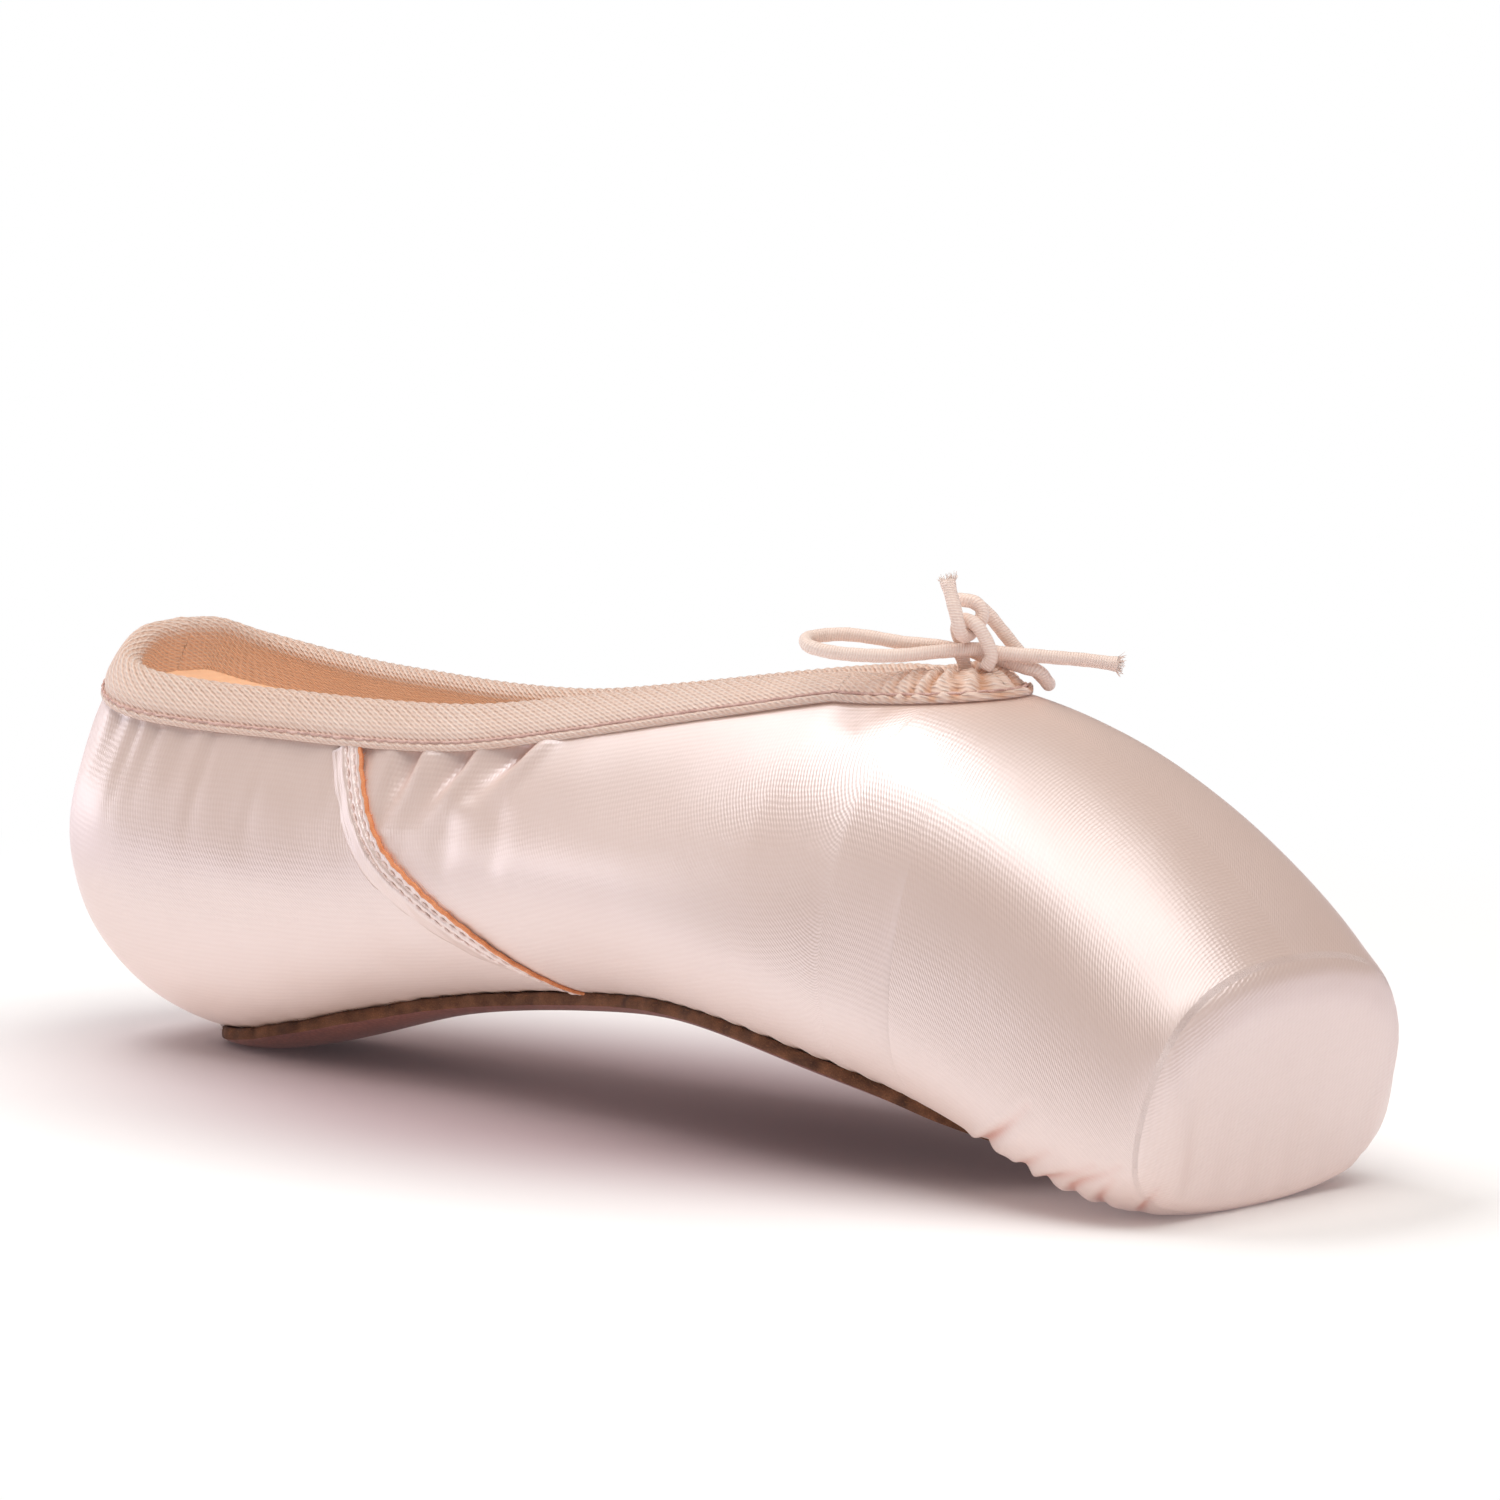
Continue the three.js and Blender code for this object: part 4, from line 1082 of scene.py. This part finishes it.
# Lapped side seams: the quarter's raw edge over the vamp, with two rows of stitches
seamSettings = {
    "clearance": 2.1, "step": 0.5, "narrow": 0.72, "rows": (1.7, 3.6), "pitch": 2.0, "thread": 0.40,
    "scallop": 0.14, "scallopWidth": 0.45, "stitchRaise": 0.48, "rawEdge": 0.35, "frays": 110,
}
# Across a band as reach and height, from the raw front edge to where it dies into the quarter
seamEdgeProfile = [(-0.10, 0.05), (-0.26, 0.30), (-0.24, 0.56), (-0.08, 0.70), (0.15, 0.68), (0.35, 0.62)]
seamProfile = seamEdgeProfile + [
    (0.8, 0.70), (1.3, 0.56), (1.7, 0.38), (2.1, 0.58), (2.5, 0.72), (2.8, 0.72), (3.2, 0.56), (3.6, 0.38),
    (4.0, 0.50), (4.5, 0.58), (5.0, 0.50), (5.6, 0.34), (6.2, 0.20), (6.9, 0.09), (7.7, 0.0), (8.2, -0.12),
]


def seamRow(column):
    return throughKnots(*zip(*seamKnots), column)


def seamStations():
    top = np.float64(seamKnots[-1][1])
    rows, column, _, away = collarEdge(seamSettings["step"])
    k = int(np.argmin(np.abs(rows - top)))
    reach = bindingSettings["width"] + seamSettings["clearance"] - 1.6
    point = walk(rows[k : k + 1], column[k : k + 1], away[k : k + 1], reach)[0][0]
    fine = np.linspace(2, 6.2, 200)
    seam = lastAt(seamRow(fine), fine)[0]
    topColumnAt = fine[np.argmin(np.linalg.norm(seam - point, axis=1))]
    bottom = lineColumn("outsole", seamKnots[0][1]) + 0.02
    fine = np.linspace(bottom, topColumnAt, 300)
    length = arcLength(lastAt(seamRow(fine), fine)[0])
    even = np.linspace(0, length[-1], round(length[-1] / seamSettings["step"]) + 1)
    column = np.interp(even, length, fine)
    row = seamRow(column)
    point, normal = lastAt(row, column)
    along = unit(np.gradient(point, axis=0))
    return row, column, even, unit(np.cross(along, normal)), normal


def besideSeam(row, column, away, reach, height):
    there, thereNormal = walk(row, column, away, reach)
    return there + thereNormal * np.broadcast_to(height, row.shape)[:, None]


def makeSeam(name, hand):
    s = seamSettings
    row, column, length, away, normal = seamStations()
    share = length / length[-1]
    narrow = s["narrow"] * (0.35 + 0.65 * smooth(share, 0, 0.35))
    rise = 0.75 + 0.25 * smooth(share, 0, 0.2)
    flip = np.array([1, hand, 1])
    waver = 0.10 * np.sin(length * 1.7 + hand) + 0.06 * np.sin(length * 4.1)
    table = []
    for reach, height in seamProfile:
        stretch = reach * narrow if reach > s["rawEdge"] else reach + waver
        scallop = 0.0
        for k, stitched in enumerate(s["rows"]):
            wave = np.cos(length * 2 * np.pi / s["pitch"] + k * 2.1)
            scallop = scallop - s["scallop"] * bell(reach - stitched, s["scallopWidth"]) * wave
        tall = (height + scallop) * rise + (0.05 * np.sin(length * 0.9 + reach) if reach > 3 else 0)
        table.append(besideSeam(row, column, away, stretch, tall) * flip)
    for reach, height in ((8.0, -0.35), (4.0, -0.10), (0.0, 0.0)):
        table.append(besideSeam(row, column, away, reach * narrow, height) * flip)
    table.append(table[0])
    ring = np.stack(table, 1)
    sheets = Sheets()
    widths = np.array([reach for reach, _ in seamProfile] + [10, 14, 18, 18.5])
    uv = np.stack([np.broadcast_to(part, ring.shape[:2]) for part in (length[:, None], widths)], -1)
    edge = len(seamEdgeProfile)
    sheets.add(ring[:, :edge], kind=1, flip=hand > 0, uv=uv[:, :edge])
    sheets.add(ring[:, edge - 1 :], flip=hand > 0, uv=uv[:, edge - 1 :])
    for end, turn in ((0, True), (-1, False)):  # both ends are closed with a fan
        centre = ring[end, :-1].mean(0)
        cap = np.stack([np.broadcast_to(centre, ring[end].shape), ring[end]], 0)
        sheets.add(cap, flip=(hand > 0) != turn)
    band = sheets.build(name, [materials["satin"], materials["seamEdge"]])
    extras = []
    inside = slice(3, -2)
    values = stitchValues(s["pitch"], 0.92, s["thread"], 0.12, 0.36, "seamThread")
    for k, reach in enumerate(s["rows"]):
        there, thereNormal = walk(row, column, away, reach * narrow)
        line = (there + thereNormal * s["stitchRaise"])[inside] * flip
        extras.append(growOn(f"{name}_stitches_{k + 1}", stitchRow, line, thereNormal[inside] * flip, values))
    rng = np.random.default_rng(21)
    pick = rng.integers(3, len(row) - 2, s["frays"])
    there = ring[pick, 2] + rng.normal(0, 0.08, (s["frays"], 3))
    out = -away[pick] * flip + 0.5 * normal[pick] * flip
    values = fibreValues(0.55, 0.07, 0.25, 0.8, "seamEdge")
    extras.append(growOn(f"{name}_fray", fibres, there, unit(out), values, joined=False))
    return band, extras


seams = {hand: makeSeam(name, hand) for name, hand in (("left_seam", 1), ("right_seam", -1))}
print("stage: seams")

# Leather outsole with its raw cut edge, and the insole
outsoleSettings = {
    "step": 1.0, "steps": 22, "lift": 0.10, "bulge": 0.25, "skive": 0.7, "skiveFrom": 12, "fibres": 420,
    "wobble": 0.22, "wobbleLong": 2.3, "wobbleShort": 0.9, "shortShare": 0.7,
}
insoleSettings = {"step": 1.6, "steps": 14, "thinner": 0.35, "drift": 0.08, "driftSize": 22}
# The outsole's cut edge from top to bottom, as share of the thickness and of the bulge
edgeProfile = [(0, 0.0), (0.2, 0.7), (0.5, 1.0), (0.8, 0.7), (1, 0.0)]


def soleRows(name, step):
    last = lines[name]["knots"][-1][0]
    return np.concatenate([evenRows(0, last, step, 1), endRows(name, 16)])


def onFloor(tables, hand):  # one half, mirrored for its side, not below the floor and closed in the middle
    for table in tables:
        table = table * [1, hand, 1]
        table[..., 2] = np.maximum(table[..., 2], 0)
        table[[0, -1], :, 1] = 0
        yield table


def makeOutsole():
    s = outsoleSettings
    rows = soleRows("outsole", s["step"])
    share = np.linspace(0, 1, s["steps"] + 1)
    thickness = shoe["outsole"] + (shoe["outsoleEdge"] - shoe["outsole"]) * share**4
    thickness = thickness * (1 - s["skive"] * smooth(rows, s["skiveFrom"], lines["outsole"]["end"]))[:, None]
    top, topNormal = lastAt(rows[:, None], lineColumn("outsole", rows)[:, None] * share)
    near = top + topNormal * s["lift"]
    far = top + topNormal * (shoe["gap"] + thickness)[..., None]
    outwards = unit(near[:, -1] - near[:, -3])
    calm = (1 - smooth(rows, 12.6, 13.0)) * smooth(rows, 0.0, 0.3)
    sheets = Sheets()
    for hand in (1, -1):
        way = arcLength(near[:, -1]) * hand
        waves = np.sin(way / s["wobbleLong"]) + s["shortShare"] * np.sin(way / s["wobbleShort"] + 1)
        wobble = s["wobble"] * waves * calm
        rim = []
        for part, out in edgeProfile:
            across = near[:, -1] * (1 - part) + far[:, -1] * part
            reach = s["bulge"] * out * (1 - 0.6 * smooth(rows, 12, 13)) + wobble * (1 - 0.5 * part)
            rim.append(across + outwards * reach[:, None])
        rim = np.stack(rim, 1)
        upperFace, lowerFace = near.copy(), far.copy()
        upperFace[:, -1], lowerFace[:, -1] = rim[:, 0], rim[:, -1]
        upperFace, lowerFace, rim = onFloor((upperFace, lowerFace, rim), hand)
        sheets.add(upperFace, flip=hand > 0)
        sheets.add(lowerFace, flip=hand < 0)
        sheets.add(rim, kind=1, flip=hand > 0)
    piece = sheets.build("leather_outsole", [materials["leather"], materials["rawEdge"]])
    rng = np.random.default_rng(31)
    roots, ways = [], []
    for hand in (1, -1):
        pick = rng.integers(2, len(rows) - 4, s["fibres"])
        spread = rng.uniform(0, 0.5, (s["fibres"], 1))
        roots.append((near[pick, -1] * (1 - spread) + far[pick, -1] * spread) * [1, hand, 1])
        ways.append((outwards[pick] + 0.3 * rng.normal(size=(s["fibres"], 3))) * [1, hand, 1])
    values = fibreValues(0.7, 0.07, 0.35, 0.7, "suedeFibre")
    roots, ways = np.concatenate(roots), unit(np.concatenate(ways))
    return piece, growOn("outsole_fuzz", fibres, roots, ways, values, joined=False)


def makeInsole():
    s = insoleSettings
    rows = soleRows("insole", s["step"])
    share = np.linspace(0, 1, s["steps"] + 1)
    place, normal = lastAt(rows[:, None], lineColumn("insole", rows)[:, None] * share)
    wall = (wallAt(rows) + shoe["gap"])[:, None, None]
    soft = shoe["insole"] * (1 - s["thinner"] * share**6)[None, :, None]
    soft = soft + s["drift"] * drift(place, s["driftSize"], 9)[..., None]
    sheets = Sheets()
    for hand in (1, -1):
        low, high = onFloor((place - normal * wall, place - normal * (wall + soft)), hand)
        uv = place[..., :2] * [1, hand]
        sheets.add(high, flip=hand > 0, uv=uv)
        sheets.add(low, flip=hand < 0, uv=uv)
        sheets.add(np.stack([high[:, -1], low[:, -1]], 1), flip=hand > 0)
    return sheets.build("insole_board", [materials["board"]])


outsole, outsoleFuzz = makeOutsole()
insole = makeInsole()
print("stage: soles")


# Frayed tips of the elastic's two free ends
tipSettings = {"fibres": 90, "wider": 1.1, "sunk": 0.2, "splay": 0.55}


def makeTip(name, path):
    s = tipSettings
    rng = np.random.default_rng(41)
    ahead = unit(path[-1] - path[-3])
    across = unit(np.cross(ahead, [0.3, 0.2, 1.0]))
    other = np.cross(ahead, across)
    turn = rng.uniform(0, 2 * np.pi, s["fibres"])
    reach = np.sqrt(rng.uniform(0.1, 1, s["fibres"])) * drawstring["diameter"] / 2 * s["wider"]
    spokes = np.cos(turn)[:, None] * across + np.sin(turn)[:, None] * other
    roots = path[-1] + spokes * reach[:, None] - ahead * s["sunk"]
    ways = unit(ahead + s["splay"] * spokes * (reach / reach.max())[:, None])
    return growOn(name, fibres, roots, ways, fibreValues(1.1, 0.12, 0.25, 0.35, "fibre"), joined=False)


tips = {name: makeTip(f"{name}_frayed_tip", cords[name][1]) for name in cords}
print("stage: tips")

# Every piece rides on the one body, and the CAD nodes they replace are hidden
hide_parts("upper")
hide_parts("collar_binding")
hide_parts("outsole")
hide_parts("insole")
for hand, side in ((1, "left"), (-1, "right")):
    band, extras = seams[hand]
    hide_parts(f"{side}_seam_band")
    for piece in (band, *extras):
        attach(piece, "root")
for piece in (upper, binding, bindingStitches, outsole, outsoleFuzz, insole):
    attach(piece, "root")
for name, (cord, path, length) in cords.items():
    points = (path + shift) * mm
    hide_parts(f"drawstring_{name}")
    for piece in (cord, tips[name]):
        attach(piece, "root")
    tuple(points[0])
    [tuple(p) for p in points[::2]]

# White floor and soft studio light. The floor glows a little, and is plain white further out.
# The camera sees glow, shade and plain white, and the shoe gets bounce and sweep instead.
stageSetup = {
    "floor": 4.0, "floorColour": "ffffff", "rough": 0.9, "specular": 0.1, "glow": 0.02, "bounce": 0.13,
    "glowColour": "f6f4ff", "whiteFrom": 0.15, "whiteAt": 0.32, "sweep": 1.2, "sweepColour": "f5f2ff",
    # shade: a painted shadow under the shoe, with its half sizes, centre and start
    "shade": "b8a5a8", "shadeHalf": (0.150, 0.095, 1.0), "shadeCentre": (-0.015, -0.005, 0),
    "shadeFrom": 0.25, "world": 0.27, "worldColour": "f8f3f2", "aim": (0, 0, 0.03),
}
white = (1, 1, 1, 1)
lights = [  # name, direction from the shoe, distance, size, power, colour
    ("key", (-0.50, -0.12, 0.86), 1.3, (1.0, 0.5), 7.4, "ffffff"),
    ("overhead", (0.34, -0.08, 0.93), 1.3, (1.5, 1.1), 11.5, "fffaf5"),
    ("heelSide", (-0.97, -0.22, 0.02), 1.2, (0.9, 0.6), 4.0, "fdfaff"),
    ("front", (0.75, -0.55, 0.36), 1.6, (0.8, 0.8), 1, "fff8f2"),
]


def mixValue(tree, share, a, b):
    return node(tree, "ShaderNodeMix", {0: share, 2: a, 3: b}).outputs[0]


def makeFloor():
    s = stageSetup
    sockets = {"Roughness": s["rough"], "Specular IOR Level": s["specular"]}
    sockets["Emission Color"] = linear(s["glowColour"])
    material, tree, shader = newMaterial("floor", sockets)
    place = tree.nodes.new("ShaderNodeTexCoord").outputs["Object"]
    seen = tree.nodes.new("ShaderNodeLightPath").outputs["Is Camera Ray"]
    reach = vectorMath(tree, "LENGTH", {0: place})[1]
    far = mapRange(tree, reach, s["whiteFrom"], s["whiteAt"], interpolation_type="SMOOTHSTEP")
    # painted shadow: inside an ellipse under the shoe the floor's colour darkens, for camera rays only
    moved = vectorMath(tree, "SUBTRACT", {0: place, 1: s["shadeCentre"]})[0]
    shrunk = vectorMath(tree, "DIVIDE", {0: moved, 1: s["shadeHalf"]})[0]
    away = vectorMath(tree, "LENGTH", {0: shrunk})[1]
    fade = mapRange(tree, away, s["shadeFrom"], 1.0, interpolation_type="SMOOTHSTEP")
    clear = calc(tree, "MAXIMUM", fade, calc(tree, "SUBTRACT", 1.0, seen))
    colour = mixColour(tree, clear, linear(s["shade"]), linear(s["floorColour"]))
    tree.links.new(colour, shader.inputs["Base Color"])
    tree.links.new(mixValue(tree, seen, s["bounce"], s["glow"]), shader.inputs["Emission Strength"])
    plain = {
        "Color": mixColour(tree, seen, linear(s["sweepColour"]), white),
        "Strength": mixValue(tree, seen, s["sweep"], 1.0),
    }
    bright = node(tree, "ShaderNodeEmission", plain).outputs[0]
    mixed = node(tree, "ShaderNodeMixShader", {0: far, 1: shader.outputs[0], 2: bright})
    tree.links.new(mixed.outputs[0], tree.nodes["Material Output"].inputs["Surface"])
    mesh = bpy.data.meshes.new("floor")
    corners = [(x * s["floor"], y * s["floor"], 0) for x, y in ((-1, -1), (1, -1), (1, 1), (-1, 1))]
    mesh.from_pydata(corners, [], [(0, 1, 2, 3)])
    mesh.materials.append(material)
    floor = newObject("floor", mesh)


def makeWorld():
    world = bpy.data.worlds.new("studio")
    bpy.context.scene.world = world
    world.use_nodes = True
    tree = world.node_tree
    tree.nodes.clear()
    seen = tree.nodes.new("ShaderNodeLightPath").outputs["Is Camera Ray"]
    strength = mixValue(tree, seen, stageSetup["world"], 1.0)
    colour = mixColour(tree, seen, linear(stageSetup["worldColour"]), white)
    background = node(tree, "ShaderNodeBackground", {"Color": colour, "Strength": strength})
    tree.links.new(background.outputs[0], tree.nodes.new("ShaderNodeOutputWorld").inputs[0])


def makeStage():
    makeFloor()
    makeWorld()
    for name, towards, distance, size, power, colour in lights:
        data = bpy.data.lights.new(name, "AREA")
        data.shape = "RECTANGLE"
        data.size, data.size_y = size
        data.energy = power
        data.color = linear(colour)[:3]
        lamp = newObject(name, data)
        direction = Vector(towards).normalized()
        lamp.location = direction * distance + Vector(stageSetup["aim"])
        lamp.rotation_euler = direction.to_track_quat("Z", "Y").to_euler()
    bpy.context.scene.view_settings.view_transform = "Standard"
    bpy.context.scene.view_settings.look = "None"


makeStage()
print("stage: stage")
